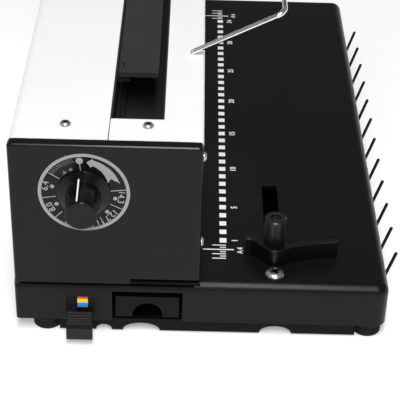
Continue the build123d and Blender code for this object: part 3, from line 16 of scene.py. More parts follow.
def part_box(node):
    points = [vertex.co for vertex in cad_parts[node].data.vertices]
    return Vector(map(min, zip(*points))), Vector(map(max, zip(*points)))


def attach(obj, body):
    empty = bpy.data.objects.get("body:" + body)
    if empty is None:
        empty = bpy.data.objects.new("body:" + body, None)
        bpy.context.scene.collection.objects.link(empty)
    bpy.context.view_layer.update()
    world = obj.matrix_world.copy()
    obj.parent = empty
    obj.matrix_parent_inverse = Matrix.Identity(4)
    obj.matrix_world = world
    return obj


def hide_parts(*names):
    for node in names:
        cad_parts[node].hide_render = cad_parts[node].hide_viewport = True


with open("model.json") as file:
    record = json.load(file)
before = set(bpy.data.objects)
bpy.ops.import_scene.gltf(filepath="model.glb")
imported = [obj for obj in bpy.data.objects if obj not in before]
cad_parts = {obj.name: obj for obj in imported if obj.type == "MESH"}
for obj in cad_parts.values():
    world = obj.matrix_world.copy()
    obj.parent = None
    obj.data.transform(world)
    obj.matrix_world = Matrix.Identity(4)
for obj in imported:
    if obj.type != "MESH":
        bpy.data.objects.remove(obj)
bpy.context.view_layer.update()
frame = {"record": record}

MM = 0.001


def corners_of(box):
    """Lowest and highest corner of a box, as vectors."""
    return tuple(Vector(corner) for corner in box)


# ================================================================ datums from the frame
HOLE_1_INSET_MM = 42.8          # first hole mark from the left end of the base
FRONT_TO_MARKS_MM = 93.6        # row of hole marks from the front of the base
BASE_LOW, BASE_HIGH = corners_of(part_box("base_shell"))
MARKS_ORIGIN = Vector((BASE_LOW.x + HOLE_1_INSET_MM * MM,
                       BASE_LOW.y + FRONT_TO_MARKS_MM * MM, BASE_HIGH.z))
END_X_MM = -HOLE_1_INSET_MM     # left end of base and side plate, in machine coordinates

HOLE_COUNT = 34
PITCH_MM = 25.4 / 3

PRINT_MM = 0.06                 # thickness of printed marks
SINK_MM = 0.02                  # how deep a mark is set into what carries it


def point(x, y, z):
    """Machine coordinates in millimetres as a vector in metres."""
    return MARKS_ORIGIN + Vector((x, y, z)) * MM


def left_face(origin):
    """Plane seen from the left end: first axis to the machine's front, second axis up."""
    turn = Matrix(((0, 0, -1, 0), (-1, 0, 0, 0), (0, 1, 0, 0), (0, 0, 0, 1)))
    return Matrix.Translation(origin) @ turn


def cross_section(x):
    """Plane across the machine at x: first axis to the rear, second axis up, facing right."""
    turn = Matrix(((0, 0, 1, 0), (1, 0, 0, 0), (0, 1, 0, 0), (0, 0, 0, 1)))
    return Matrix.Translation((x, 0, 0)) @ turn


# ================================================================ materials
def new_material(name):
    """Material with a bare node tree; returns the tree's nodes, links and shader."""
    material = bpy.data.materials.new(name)
    material.use_nodes = True
    nodes, links = material.node_tree.nodes, material.node_tree.links
    shader = next(node for node in nodes if node.type == "BSDF_PRINCIPLED")
    return material, nodes, links, shader


def object_noise(nodes, links, size_mm, detail=3.0, stretch=(1, 1, 1)):
    """Noise whose lumps are about size_mm across, stretched along the axes."""
    place = nodes.new("ShaderNodeTexCoord")
    mapping = nodes.new("ShaderNodeMapping")
    mapping.inputs["Scale"].default_value = [1 / factor for factor in stretch]
    noise = nodes.new("ShaderNodeTexNoise")
    noise.inputs["Scale"].default_value = 1 / (size_mm * MM)
    noise.inputs["Detail"].default_value = detail
    links.new(place.outputs["Object"], mapping.inputs["Vector"])
    links.new(mapping.outputs["Vector"], noise.inputs["Vector"])
    return noise.outputs["Fac"]


def ramp(nodes, links, value, low, high, start=0.3, end=0.7):
    """Colour or grey that runs from low to high as value goes from start to end."""
    node = nodes.new("ShaderNodeValToRGB")
    for element, place, tone in zip(node.color_ramp.elements, (start, end), (low, high)):
        element.position = place
        element.color = (*(tone if isinstance(tone, tuple) else (tone,) * 3), 1)
    links.new(value, node.inputs["Fac"])
    return node.outputs["Color"]


def add_bump(nodes, links, shader, value, height_mm, edge_mm=0.3):
    """Bump from a value, over edges that catch the light as if rounded to edge_mm."""
    bump = nodes.new("ShaderNodeBump")
    if edge_mm:
        edge = nodes.new("ShaderNodeBevel")
        edge.inputs["Radius"].default_value = edge_mm * MM
        links.new(edge.outputs["Normal"], bump.inputs["Normal"])
    bump.inputs["Distance"].default_value = height_mm * MM
    bump.inputs["Strength"].default_value = 1.0
    links.new(value, bump.inputs["Height"])
    links.new(bump.outputs["Normal"], shader.inputs["Normal"])


HOLLOW_SHADE_TONE = 0.06              # painted shade: what is left of the colour deep in a hollow
HOLLOW_SHADE_RANGE = (0.5, 0.85)      # openness from which to which the colour comes back


def darker_hollows(nodes, links, colour, reach_mm):
    """Painted shade: colour multiplied down where the surface lies in a recess of its own piece.
    """
    open_air = nodes.new("ShaderNodeAmbientOcclusion")
    open_air.only_local = True
    open_air.inputs["Distance"].default_value = reach_mm * MM
    mix = nodes.new("ShaderNodeMix")
    mix.data_type = "RGBA"
    mix.blend_type = "MULTIPLY"
    mix.inputs["Factor"].default_value = 1.0
    links.new(colour, mix.inputs["A"])
    kept = ramp(nodes, links, open_air.outputs["AO"], HOLLOW_SHADE_TONE, 1.0, *HOLLOW_SHADE_RANGE)
    links.new(kept, mix.inputs["B"])
    return mix.outputs["Result"]


def shade(colour, factor):
    return tuple(channel * factor for channel in colour)


COAT_CLOUD_MM = 60.0
MOULD_CLOUD_MM = 25.0
STAIN_MM = 18.0
INK_SPECK_MM = 0.3


def coated(name, colour, roughness, grain_mm=0.9, grain_depth_mm=0.02, specular=0.5,
           mottle=0.05):
    """Powder-coated sheet: faint orange peel and slow changes of tone and gloss."""
    material, nodes, links, shader = new_material(name)
    cloud = object_noise(nodes, links, COAT_CLOUD_MM, 2.0)
    peel = object_noise(nodes, links, grain_mm, 2.0)
    links.new(ramp(nodes, links, cloud, shade(colour, 1 - mottle), shade(colour, 1 + mottle)),
              shader.inputs["Base Color"])
    links.new(ramp(nodes, links, cloud, roughness - 0.03, roughness + 0.04),
              shader.inputs["Roughness"])
    shader.inputs["Specular IOR Level"].default_value = specular
    add_bump(nodes, links, shader, peel, grain_depth_mm)
    return material


def moulded(name, colour, roughness, grain_mm=0.45, grain_depth_mm=0.03, specular=0.5,
            edge_mm=0.3):
    """Moulded plastic with a spark-eroded grain."""
    material, nodes, links, shader = new_material(name)
    cloud = object_noise(nodes, links, MOULD_CLOUD_MM, 3.0)
    grain = object_noise(nodes, links, grain_mm, 1.0)
    links.new(ramp(nodes, links, cloud, shade(colour, 0.9), shade(colour, 1.1)),
              shader.inputs["Base Color"])
    links.new(ramp(nodes, links, grain, roughness - 0.04, roughness + 0.05),
              shader.inputs["Roughness"])
    shader.inputs["Specular IOR Level"].default_value = specular
    add_bump(nodes, links, shader, grain, grain_depth_mm, edge_mm=edge_mm)
    return material


def metal(name, colour, roughness, grain_mm=0.25, stretch=(60, 1, 1), depth_mm=0.004,
          hollow_shade_mm=0.0):
    """Bare or plated metal with fine lines along one axis, and painted shade in its hollows."""
    material, nodes, links, shader = new_material(name)
    lines = object_noise(nodes, links, grain_mm, 2.0, stretch)
    stain = object_noise(nodes, links, STAIN_MM, 3.0)
    tone = ramp(nodes, links, stain, shade(colour, 0.9), colour)
    if hollow_shade_mm:
        tone = darker_hollows(nodes, links, tone, hollow_shade_mm)
    links.new(tone, shader.inputs["Base Color"])
    links.new(ramp(nodes, links, lines, max(roughness - 0.05, 0.02), roughness + 0.06),
              shader.inputs["Roughness"])
    shader.inputs["Metallic"].default_value = 1.0
    add_bump(nodes, links, shader, lines, depth_mm, edge_mm=0.0)
    return material


def printed(name, colour, roughness=0.45, specular=0.5):
    """Screen-printed ink: matt, with a trace of the coat's grain showing through."""
    material, nodes, links, shader = new_material(name)
    speck = object_noise(nodes, links, INK_SPECK_MM, 2.0)
    links.new(ramp(nodes, links, speck, shade(colour, 0.94), colour), shader.inputs["Base Color"])
    shader.inputs["Roughness"].default_value = roughness
    shader.inputs["Specular IOR Level"].default_value = specular
    return material


FLOOR_TONE = 0.78
FLOOR_GLOW = (0.3, 0.72)        # near the machine, and far out where the lamps don't reach
GLOW_REACH = (0.7, 3.0)         # distances in metres from which to which the glow grows


def floor_material():
    """White paper sweep: white to the eye and in reflections, grey only where shaded."""
    material, nodes, links, shader = new_material("paper_floor")
    shader.inputs["Base Color"].default_value = (FLOOR_TONE, FLOOR_TONE, FLOOR_TONE, 1)
    shader.inputs["Roughness"].default_value = 0.9
    shader.inputs["Specular IOR Level"].default_value = 0.1
    glow = nodes.new("ShaderNodeEmission")
    place = nodes.new("ShaderNodeTexCoord")
    away = nodes.new("ShaderNodeVectorMath")
    away.operation = "LENGTH"
    reach = nodes.new("ShaderNodeMapRange")
    ends = (*GLOW_REACH, *FLOOR_GLOW)
    for socket, value in zip(("From Min", "From Max", "To Min", "To Max"), ends):
        reach.inputs[socket].default_value = value
    links.new(place.outputs["Object"], away.inputs[0])
    links.new(away.outputs["Value"], reach.inputs["Value"])
    links.new(reach.outputs["Result"], glow.inputs["Strength"])
    path = nodes.new("ShaderNodeLightPath")
    seen = nodes.new("ShaderNodeMath")
    seen.operation = "MAXIMUM"
    links.new(path.outputs["Is Camera Ray"], seen.inputs[0])
    links.new(path.outputs["Is Glossy Ray"], seen.inputs[1])
    dark = nodes.new("ShaderNodeEmission")
    dark.inputs["Strength"].default_value = 0.0
    choice = nodes.new("ShaderNodeMixShader")
    links.new(seen.outputs[0], choice.inputs["Fac"])
    links.new(dark.outputs[0], choice.inputs[1])
    links.new(glow.outputs[0], choice.inputs[2])
    total = nodes.new("ShaderNodeAddShader")
    output = next(node for node in nodes if node.type == "OUTPUT_MATERIAL")
    links.new(shader.outputs[0], total.inputs[0])
    links.new(choice.outputs[0], total.inputs[1])
    links.new(total.outputs[0], output.inputs["Surface"])
    return material


BLACK = (0.0045, 0.0045, 0.0052)
MATERIALS = {
    "black_moulding": coated("base_black", BLACK, 0.32, 1.1, 0.01, specular=0.18),
    "black_sheet": coated("sheet_black", BLACK, 0.21, 0.9, 0.005, specular=0.21),
    "white_sheet": coated("cover_white", (0.89, 0.89, 0.89), 0.38, 1.0, 0.006, mottle=0.008),
    "black_channel": coated("channel_black", (0.028, 0.028, 0.0285), 0.6, specular=0.2),
    "black_cover": moulded("flap_black", (0.028, 0.028, 0.0285), 0.5, specular=0.25),
    "black_die": coated("die_black", (0.012, 0.012, 0.0125), 0.4, specular=0.3),
    "black_lever": coated("lever_black", (0.007, 0.007, 0.0075), 0.35, specular=0.3),
    "black_drawer": moulded("drawer_black", (0.0035, 0.0035, 0.004), 0.45, specular=0.13),
    "black_thumb": moulded("selector_black", (0.009, 0.009, 0.0095), 0.4, specular=0.25),
    "black_guide": moulded("guide_black", (0.002, 0.002, 0.0022), 0.3, 0.5, 0.001,
                           specular=0.35, edge_mm=0.9),
    "black_wire": coated("wire_black", (0.006, 0.006, 0.006), 0.4, specular=0.3),
    "black_rubber": moulded("foot_rubber", (0.008, 0.008, 0.008), 0.7, specular=0.2),
    "grip_rubber": moulded("grip_rubber", (0.01, 0.01, 0.0105), 0.55, 0.6, 0.05, specular=0.25),
    "gloss_black": moulded("dial_gloss", (0.003, 0.003, 0.0032), 0.18, 2.0, 0.003, specular=0.24),
    "label_blue": printed("label_blue", (0.03, 0.27, 0.75), 0.3),
    "white_nylon": moulded("nylon", (0.75, 0.74, 0.70), 0.45),
    "steel": metal("plated_steel", (0.56, 0.56, 0.57), 0.3),
    "cast_steel": metal("sintered_steel", (0.22, 0.22, 0.23), 0.5, 0.4, (1, 1, 1), 0.01),
    "bronze": metal("bronze", (0.55, 0.38, 0.18), 0.35),
    "zinc_screw": metal("zinc", (0.6, 0.6, 0.58), 0.35, 0.3, (1, 1, 1)),
    # the nickel screws get painted shade in their recesses
    "chrome_screw": metal("nickel", (0.6, 0.6, 0.6), 0.3, 2.0, (1, 1, 1), 0.001, 1.6),
    "chrome_rod": metal("chrome", (0.86, 0.86, 0.87), 0.14, 6.0, (1, 1, 1), 0.0),
}
PRINT_WHITE = printed("print_white", (0.88, 0.88, 0.88))
PRINT_GREY = printed("print_grey", (0.34, 0.34, 0.34))
PRINT_DIM = printed("print_dim", (0.16, 0.16, 0.16))
LINE_WHITE = printed("line_white", (0.9, 0.9, 0.9), 0.35)
# black for painted shade in the screw recesses and painted shadow under the side plate
SHADE_BLACK = printed("painted_shade_black", (0.0008, 0.0008, 0.0008), 0.9, 0.02)
LABEL_RED = printed("label_red", (0.75, 0.03, 0.02), 0.3)
LABEL_YELLOW = printed("label_yellow", (0.95, 0.72, 0.02), 0.3)

# nodes that look unlike the rest of their slot
NODE_MATERIALS = {
    # the pan's black is darker than the base's: painted shade under the base's walls
    "bottom_pan": coated("pan_shaded_black", (0.0022, 0.0022, 0.0024), 0.5, 0.9, 0.01, specular=0.12),
    "guide_knob": moulded("knob_black", (0.008, 0.008, 0.0085), 0.3, 1.5, 0.004, specular=0.5),
}


def dress_nodes():
    """Give every CAD node the material of its slot, or its own."""
    for entry in frame["record"]["subparts"]:
        obj = bpy.data.objects.get(entry["node"])
        if obj is None:
            continue
        for place in obj.material_slots:
            place.material = NODE_MATERIALS.get(entry["node"], MATERIALS[entry["material_slot"]])


# ================================================================ mesh helpers
# faces of a closed box whose eight corners are listed with the last axis changing fastest
BOX_FACES = [(0, 1, 3, 2), (4, 6, 7, 5), (0, 4, 5, 1), (2, 3, 7, 6), (0, 2, 6, 4), (1, 5, 7, 3)]


def add_mesh(name, mesh, material, body):
    """Mesh as a piece that rides on a body."""
    obj = bpy.data.objects.new(name, mesh)
    bpy.context.collection.objects.link(obj)
    mesh.materials.append(material)
    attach(obj, body)
    return obj


def flat_marks(name, outlines, place, material, body, height_mm=PRINT_MM):
    """Thin prisms from outlines in millimetres, laid on the plane that place describes."""
    mesh = bpy.data.meshes.new(name)
    bm = bmesh.new()
    for outline in outlines:
        low, high = ([bm.verts.new(place @ Vector((u * MM, v * MM, w * MM))) for u, v in outline]
                     for w in (-SINK_MM, height_mm))
        bm.faces.new(high)
        bm.faces.new(low[::-1])
        for n in range(len(outline)):
            after = (n + 1) % len(outline)
            bm.faces.new((low[n], low[after], high[after], high[n]))
    bmesh.ops.recalc_face_normals(bm, faces=bm.faces)
    bm.to_mesh(mesh)
    bm.free()
    return add_mesh(name, mesh, material, body)


def rectangle(u0, u1, v0, v1):
    return [(u0, v0), (u1, v0), (u1, v1), (u0, v1)]


def polar(radius, angle):
    """Point at an angle anticlockwise from twelve o'clock, as (right, up)."""
    turn = radians(angle)
    return (-radius * sin(turn), radius * cos(turn))


def arc_band(r_in, r_out, start, end, steps):
    """Outlines of a curved band, cut into four-sided pieces."""
    bands = []
    for n in range(steps):
        a, b = (start + (end - start) * m / steps for m in (n, n + 1))
        bands.append([polar(r_in, a), polar(r_out, a), polar(r_out, b), polar(r_in, b)])
    return bands


def disc(radius, centre, steps=28):
    turns = [2 * pi * n / steps for n in range(steps)]
    return [(centre[0] + radius * cos(turn), centre[1] + radius * sin(turn)) for turn in turns]


def stroke(r_in, r_out, angle, width, lean=0.0):
    """Straight stroke outwards, whose outer end is turned by lean degrees from its inner end."""
    inner, outer = Vector(polar(r_in, angle)), Vector(polar(r_out, angle + lean))
    along = (outer - inner).normalized()
    across = Vector((along.y, -along.x)) * width / 2
    corners = (inner + across, outer + across, outer - across, inner - across)
    return [tuple(corner) for corner in corners]


def lettering(name, items, place, size_mm, material, body, weight_mm, spacing=1.0):
    """Text as thin solids; items are (text, u, v, turn in degrees)."""
    mesh = bpy.data.meshes.new(name)
    bm = bmesh.new()
    for text, u, v, turn in items:
        curve = bpy.data.curves.new(name + "_type", "FONT")
        curve.body = text
        curve.size = size_mm * MM
        curve.align_x = "CENTER"
        curve.align_y = "CENTER"
        curve.extrude = (PRINT_MM + SINK_MM) / 2 * MM
        curve.offset = weight_mm * MM
        curve.space_character = spacing
        curve.resolution_u = 3
        holder = bpy.data.objects.new(name + "_type", curve)
        bpy.context.collection.objects.link(holder)
        glyphs = bpy.data.meshes.new_from_object(holder)
        lift = Matrix.Translation((u * MM, v * MM, (PRINT_MM - SINK_MM) / 2 * MM))
        glyphs.transform(place @ lift @ Matrix.Rotation(radians(turn), 4, "Z"))
        bm.from_mesh(glyphs)
        bpy.data.objects.remove(holder)
        bpy.data.curves.remove(curve)
        bpy.data.meshes.remove(glyphs)
    bm.to_mesh(mesh)
    bm.free()
    mesh.materials.clear()
    return add_mesh(name, mesh, material, body)


# ================================================================ print on the table
TABLE = Matrix.Translation(MARKS_ORIGIN)
MARK_WIDE_MM = 4.3
MARK_DEEP_MM = 4.0
NUMBER_Y_MM = -7.0
NUMBER_SIZE_MM = 5.2
NUMBER_WEIGHT_MM = 0.08
SHEET_SIZE_MM = 5.0             # the letters that name the paper size
SHEET_WEIGHT_MM = 0.03
SHEET_SPACING = 1.15
SHEET_Y_MM = -9.9
SHEET_OUT_MM = 9.6              # their middle, outwards from the first and the last mark
SCALE_OUT_MM = 9.0              # long line of the fine scale, outwards likewise
LINE_WIDE_MM = 0.9
LINE_YS_MM = (-6.3, 11.7)
TICK_PITCH_MM = 2.12
TICK_WIDE_MM = 0.75
TICK_FOOT_MM = -1.6
TICK_TOPS_MM = (6.3, 1.8)       # even and odd ticks
TICK_FIRST, TICK_LAST = -2, 4   # counted outwards from the long line


def table_print():
    """Hole marks, their numbers, and the fine scale beside the first and last mark."""
    half_wide, half_deep = MARK_WIDE_MM / 2, MARK_DEEP_MM / 2
    marks = [rectangle(n * PITCH_MM - half_wide, n * PITCH_MM + half_wide, -half_deep, half_deep)
             for n in range(HOLE_COUNT)]
    flat_marks("hole_marks", marks, TABLE, PRINT_WHITE, "root")
    last_x = (HOLE_COUNT - 1) * PITCH_MM
    strokes = []
    for centre, away in ((0.0, -1), (last_x, 1)):
        line = centre + away * SCALE_OUT_MM
        strokes.append(rectangle(line - LINE_WIDE_MM / 2, line + LINE_WIDE_MM / 2, *LINE_YS_MM))
        for n in range(TICK_FIRST, TICK_LAST + 1):
            if n == 0:
                continue
            x = line + away * n * TICK_PITCH_MM
            strokes.append(rectangle(x - TICK_WIDE_MM / 2, x + TICK_WIDE_MM / 2, TICK_FOOT_MM,
                                     TICK_TOPS_MM[n % 2]))
    flat_marks("fine_scale", strokes, TABLE, PRINT_WHITE, "root")
    shown = [1] + list(range(5, HOLE_COUNT, 5)) + [HOLE_COUNT]
    numbers = [(str(n), (n - 1) * PITCH_MM, NUMBER_Y_MM, 0) for n in shown]
    lettering("mark_numbers", numbers, TABLE, NUMBER_SIZE_MM, PRINT_WHITE, "root",
              NUMBER_WEIGHT_MM)
    sheet = [("A4", -SHEET_OUT_MM, SHEET_Y_MM, 0), ("A4", last_x + SHEET_OUT_MM, SHEET_Y_MM, 0)]
    lettering("sheet_size", sheet, TABLE, SHEET_SIZE_MM, PRINT_WHITE, "root",
              SHEET_WEIGHT_MM, SHEET_SPACING)


# ================================================================ print round the dial
DIAL_Y_MM = 76.5
DIAL_Z_MM = 60.4
DIAL_FACE = left_face(point(END_X_MM, DIAL_Y_MM, DIAL_Z_MM))
RING_IN_MM = 22.75
RING_OUT_MM = 24.6
RING_STEPS = 96
# angles are in degrees anticlockwise from twelve o'clock, and radii in millimetres
SIZES = [("6.4", 79.0, 20.7), ("8.0", 118.0, 20.3), ("9.5", 158.0, 20.3), ("11.1", 199.0, 20.4),
         ("12.7", 225.4, 20.1), ("14.3", 263.5, 19.9)]
SIZE_TYPE_MM, SIZE_WEIGHT_MM = 4.9, 0.06
DOTS = [(77.6, 17.2), (117.0, 16.6), (156.0, 16.9), (197.0, 17.0), (225.7, 17.1), (259.0, 16.9)]
DOT_R_MM = 1.15
TICKS = [(56.2, 15.4), (99.7, 15.4), (136.0, 17.4), (180.0, 17.0), (208.0, 17.6), (243.5, 15.4),
         (276.1, 14.2)]
DIAL_TICK_MM = 0.5
PUNCH_DOT_R_MM, PUNCH_DOT = 1.95, (20.25, 5.7)          # punching position: radius and angle
PUNCH_LINE_MM, PUNCH_LINE = 0.42, (13.6, 18.4, 6.0)     # inner and outer radius, and angle
HATCH_IN_MM = 19.6
HATCH_GAP_MM = 0.5              # between the slanted strokes and the ring
HATCH_FIRST, HATCH_LAST, HATCH_COUNT = 15.0, 54.0, 11
HATCH_LEAN, HATCH_WIDE_MM = 2.2, 0.34
TRIANGLE = [(17.5, 37.5), (15.5, 43.6), (15.1, 33.9)]   # radius and angle of each corner
SMALL_DOT_R_MM, SMALL_DOT = 1.0, (16.0, 24.6)


def dial_print():
    """Ring, wire sizes, opening scale, punching position and arrow on the left side plate."""
    def put(name, outlines, ink):
        flat_marks(name, outlines, DIAL_FACE, ink, "root")

    put("dial_ring", arc_band(RING_IN_MM, RING_OUT_MM, 0, 360, RING_STEPS), PRINT_GREY)
    strokes = [stroke(r, RING_IN_MM + 0.1, angle, DIAL_TICK_MM) for angle, r in TICKS]
    strokes += [disc(DOT_R_MM, polar(r, angle)) for angle, r in DOTS]
    strokes.append(disc(PUNCH_DOT_R_MM, polar(*PUNCH_DOT)))
    strokes.append(stroke(*PUNCH_LINE, PUNCH_LINE_MM))
    put("dial_strokes", strokes, PRINT_GREY)
    step = (HATCH_LAST - HATCH_FIRST) / (HATCH_COUNT - 1)
    fine = [stroke(HATCH_IN_MM, RING_IN_MM - HATCH_GAP_MM, HATCH_FIRST + n * step,
                   HATCH_WIDE_MM, HATCH_LEAN)
            for n in range(HATCH_COUNT)]
    fine.append([polar(r, angle) for r, angle in TRIANGLE])
    fine.append(disc(SMALL_DOT_R_MM, polar(*SMALL_DOT)))
    put("dial_fine_print", fine, PRINT_DIM)
    put("dial_arrow", [arrow_outline()], PRINT_GREY)
    numbers = [(text, *polar(r, angle), angle) for text, angle, r in SIZES]
    lettering("dial_numbers", numbers, DIAL_FACE, SIZE_TYPE_MM, PRINT_GREY, "root",
              SIZE_WEIGHT_MM)


ARROW_NECK, ARROW_TAIL = -15.5, -61.0
ARROW_OUT_MM = (21.2, 20.3)     # radius of the outer edge, at the neck and at the tail
ARROW_IN_MM = (17.8, 14.4)
ARROW_CURVE = 1.3               # how late the inner edge falls to its tail radius
ARROW_STEPS = 12
# radius and angle of the corners at each end
ARROW_HEAD = [(16.4, ARROW_NECK + 1.8), (19.4, -5.2), (22.0, ARROW_NECK + 2.8)]
ARROW_FORK = [(20.3, -71.5), (17.2, -57.5), (14.4, -63.0)]


def arrow_outline():
    """Curved arrow that widens towards its forked tail."""
    def between(ends, share):
        return ends[0] + (ends[1] - ends[0]) * share

    shares = [n / ARROW_STEPS for n in range(ARROW_STEPS + 1)]
    angles = [between((ARROW_NECK, ARROW_TAIL), share) for share in shares]
    outer = [polar(between(ARROW_OUT_MM, share), a) for share, a in zip(shares, angles)]
    inner = [polar(between(ARROW_IN_MM, share ** ARROW_CURVE), a)
             for share, a in zip(shares, angles)]
    head, fork = ([polar(*corner) for corner in corners] for corners in (ARROW_HEAD, ARROW_FORK))
    return head + outer + fork + inner[::-1]


# ================================================================ print on the knob and the label
# crest of the pointer rib: radius and height above the knob's foot
KNOB_RIB_FOOT_MM = (11.0, 2.4)
KNOB_RIB_TOP_MM = (9.4, 21.1)
KNOB_REST = 12.0                # pointer at rest, anticlockwise from twelve o'clock
KNOB_GAP_MM = 0.3               # foot of the knob above the side plate
KNOB_LINE_WIDE_MM = 0.84
KNOB_LINE_SINK_MM = 0.05


def knob_line():
    """White line along the crest of the knob's pointer rib."""
    along = Vector(polar(1.0, KNOB_REST))
    side = Vector((along.y, -along.x)) * (KNOB_LINE_WIDE_MM / 2)
    corners = []
    for radius, height in (KNOB_RIB_FOOT_MM, KNOB_RIB_TOP_MM):
        for rise in (-KNOB_LINE_SINK_MM, PRINT_MM):
            for hand in (-1, 1):
                flat = along * (radius + rise) + side * hand
                corner = Vector((flat.x, flat.y, height + KNOB_GAP_MM))
                corners.append(DIAL_FACE @ (corner * MM))
    mesh = bpy.data.meshes.new("knob_line")
    mesh.from_pydata(corners, [], BOX_FACES)
    add_mesh("knob_line", mesh, LINE_WHITE, "dial")


# name, ink, and from where to where up the label, as shares of its height
LABEL_BANDS = [("label_red", LABEL_RED, 0.815, 1.0), ("label_yellow", LABEL_YELLOW, 0.43, 0.815)]
LABEL_INK_MM = 0.03


def label_bands():
    """Red and yellow bands over the blue ground of the setting label."""
    low, high = corners_of(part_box("setting_label"))
    place = left_face((low.x, high.y, low.z))
    wide, tall = (high.y - low.y) / MM, (high.z - low.z) / MM
    for name, ink, start, end in LABEL_BANDS:
        flat_marks(name, [rectangle(0.0, wide, tall * start, tall * end)], place, ink,
                   "root", LABEL_INK_MM)


# ================================================================ pan, ears, and painted shade in the screws and under the side plate
PAN_SHEET_MM = 1.5
FOOT_R_MM = 8.3                 # rubber foot
FOOT_CLEAR_MM = 9.3             # skirts cut back from the middle of a foot
END_CLEAR_MM = 7.4              # the same for the left skirt, which stands further off the feet
# arches in the left skirt: middle, half width and height above the skirt's lower edge
PAN_ARCHES_MM = [(-30.6, 9.2, 5.0), (46.0, 10.6, 5.2), (67.3, 4.6, 3.7)]
ARCH_STEPS = 14
CUT_OVER_MM = 1                 # how far a cut runs past what it removes
CUT_SHIFT = 1e-5                # keeps a cut off the faces it would share, in metres
WELD = 1e-6                     # metres


def cut_box(piece, low, high):
    """Take the box between two corners out of a piece."""
    corners = [(x, y, z) for x in (low[0], high[0]) for y in (low[1], high[1])
               for z in (low[2], high[2])]
    mesh = bpy.data.meshes.new("cutter")
    mesh.from_pydata(corners, [], BOX_FACES)
    bm = bmesh.new()
    bm.from_mesh(mesh)
    bmesh.ops.recalc_face_normals(bm, faces=bm.faces)
    bm.to_mesh(mesh)
    bm.free()
    cutter = bpy.data.objects.new("cutter", mesh)
    bpy.context.collection.objects.link(cutter)
    cut = piece.modifiers.new("cut", "BOOLEAN")
    cut.operation, cut.solver, cut.object = "DIFFERENCE", "EXACT", cutter
    cut_piece = piece.evaluated_get(bpy.context.evaluated_depsgraph_get())
    done = bpy.data.meshes.new_from_object(cut_piece)
    piece.modifiers.clear()
    piece.data = done
    bpy.data.objects.remove(cutter)


def tray():
    """Pan under the base, its skirt cut back round the feet and arched along the left end."""
    mesh = bpy.data.objects["bottom_pan"].data.copy()
    mesh.name = "tray"
    bm = bmesh.new()
    bm.from_mesh(mesh)
    bmesh.ops.remove_doubles(bm, verts=bm.verts, dist=WELD)
    bm.to_mesh(mesh)
    bm.free()
    mesh.materials.clear()
    tray_piece = add_mesh("tray", mesh, NODE_MATERIALS["bottom_pan"], "root")
    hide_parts("bottom_pan")

    low, high = corners_of(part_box("bottom_pan"))
    feet_low, feet_high = corners_of(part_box("rubber_feet"))
    foot_r, clear, out = FOOT_R_MM * MM, FOOT_CLEAR_MM * MM, CUT_OVER_MM * MM
    xs = (feet_low.x + foot_r, feet_high.x - foot_r)
    ys = (feet_low.y + foot_r, feet_high.y - foot_r)
    under = high.z - PAN_SHEET_MM * MM - CUT_SHIFT
    # the whole left skirt, which tray_end() stands in for, then the four corners
    cut_box(tray_piece, (low.x - out, low.y - out, low.z - out),
            (low.x + PAN_SHEET_MM * MM + CUT_SHIFT, high.y + out, under))
    for x, x_side in zip(xs, (-1, 1)):
        for y, y_side in zip(ys, (-1, 1)):
            x_far, y_far = (low.x, high.x)[x_side > 0], (low.y, high.y)[y_side > 0]
            x0, x1 = sorted((x_far + x_side * out, x - x_side * clear))
            y0, y1 = sorted((y_far + y_side * out, y - y_side * clear))
            cut_box(tray_piece, (x0, y0, low.z - out), (x1, y1, under))
    tray_end(low, under, *ys)


def tray_end(low, top, front_foot, rear_foot):
    """Left skirt of the pan, between the middles of two feet and with arches below."""
    front, rear = front_foot + END_CLEAR_MM * MM, rear_foot - END_CLEAR_MM * MM
    outline = [(front, low.z)]
    for middle, half, tall in PAN_ARCHES_MM:
        centre = point(0, middle, 0).y
        for n in range(ARCH_STEPS + 1):
            turn = pi * (1 - n / ARCH_STEPS)
            outline.append((centre + half * MM * cos(turn), low.z + tall * MM * sin(turn)))
    outline += [(rear, low.z), (rear, top), (front, top)]
    flat_marks("tray_end", [[(y / MM, z / MM) for y, z in outline]], cross_section(low.x),
               NODE_MATERIALS["bottom_pan"], "root", PAN_SHEET_MM)


EAR_WRAP_R_MM = 1.66
EAR_WRAP_SHEET_MM = 0.1
EAR_WRAP_FROM, EAR_WRAP_SPAN = -30, 170     # degrees round the hinge, from the front over the top
EAR_WRAP_STEPS = 12
EAR_WIDE_MM = 5.0
PIN_REACH_MM = 4.5


def ear_wraps():
    """Black finish over the round of each hinge ear, so that it matches the cover plate."""
    low, high = corners_of(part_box("hinge_pins"))
    axis_y, axis_z = (low.y + high.y) / 2, (low.z + high.z) / 2
    turns = [radians(EAR_WRAP_FROM + EAR_WRAP_SPAN * n / EAR_WRAP_STEPS)
             for n in range(EAR_WRAP_STEPS + 1)]
    section = []
    for radius, order in ((EAR_WRAP_R_MM, 1), (EAR_WRAP_R_MM - EAR_WRAP_SHEET_MM, -1)):
        section += [(axis_y - radius * MM * cos(turn), axis_z + radius * MM * sin(turn))
                    for turn in turns[::order]]
    for name, start in (("ear_wrap_left", low.x + PIN_REACH_MM * MM),
                        ("ear_wrap_right", high.x - (PIN_REACH_MM + EAR_WIDE_MM) * MM)):
        flat_marks(name, [[(y / MM, z / MM) for y, z in section]], cross_section(start),
                   MATERIALS["black_cover"], "root", EAR_WIDE_MM)


# painted shade piece and the screws it lies in: radius of a head, turn of the first screw and of
# each one
# from the last, in degrees
RECESS_SHADES = {"table_screw_shade": ("table_screws", 5.4, 30), "top_screw_shade": ("top_screws", 3.1, 25)}
# painted shade sunk in the cross recess, as shares of the head's radius
DRIVE_ROUND, DRIVE_ARM, DRIVE_ARM_WIDE = 0.42, 0.55, 0.24
DRIVE_STEPS = 16
DRIVE_SINK_MM = 0.12
DRIVE_SHADE_MM = 0.02


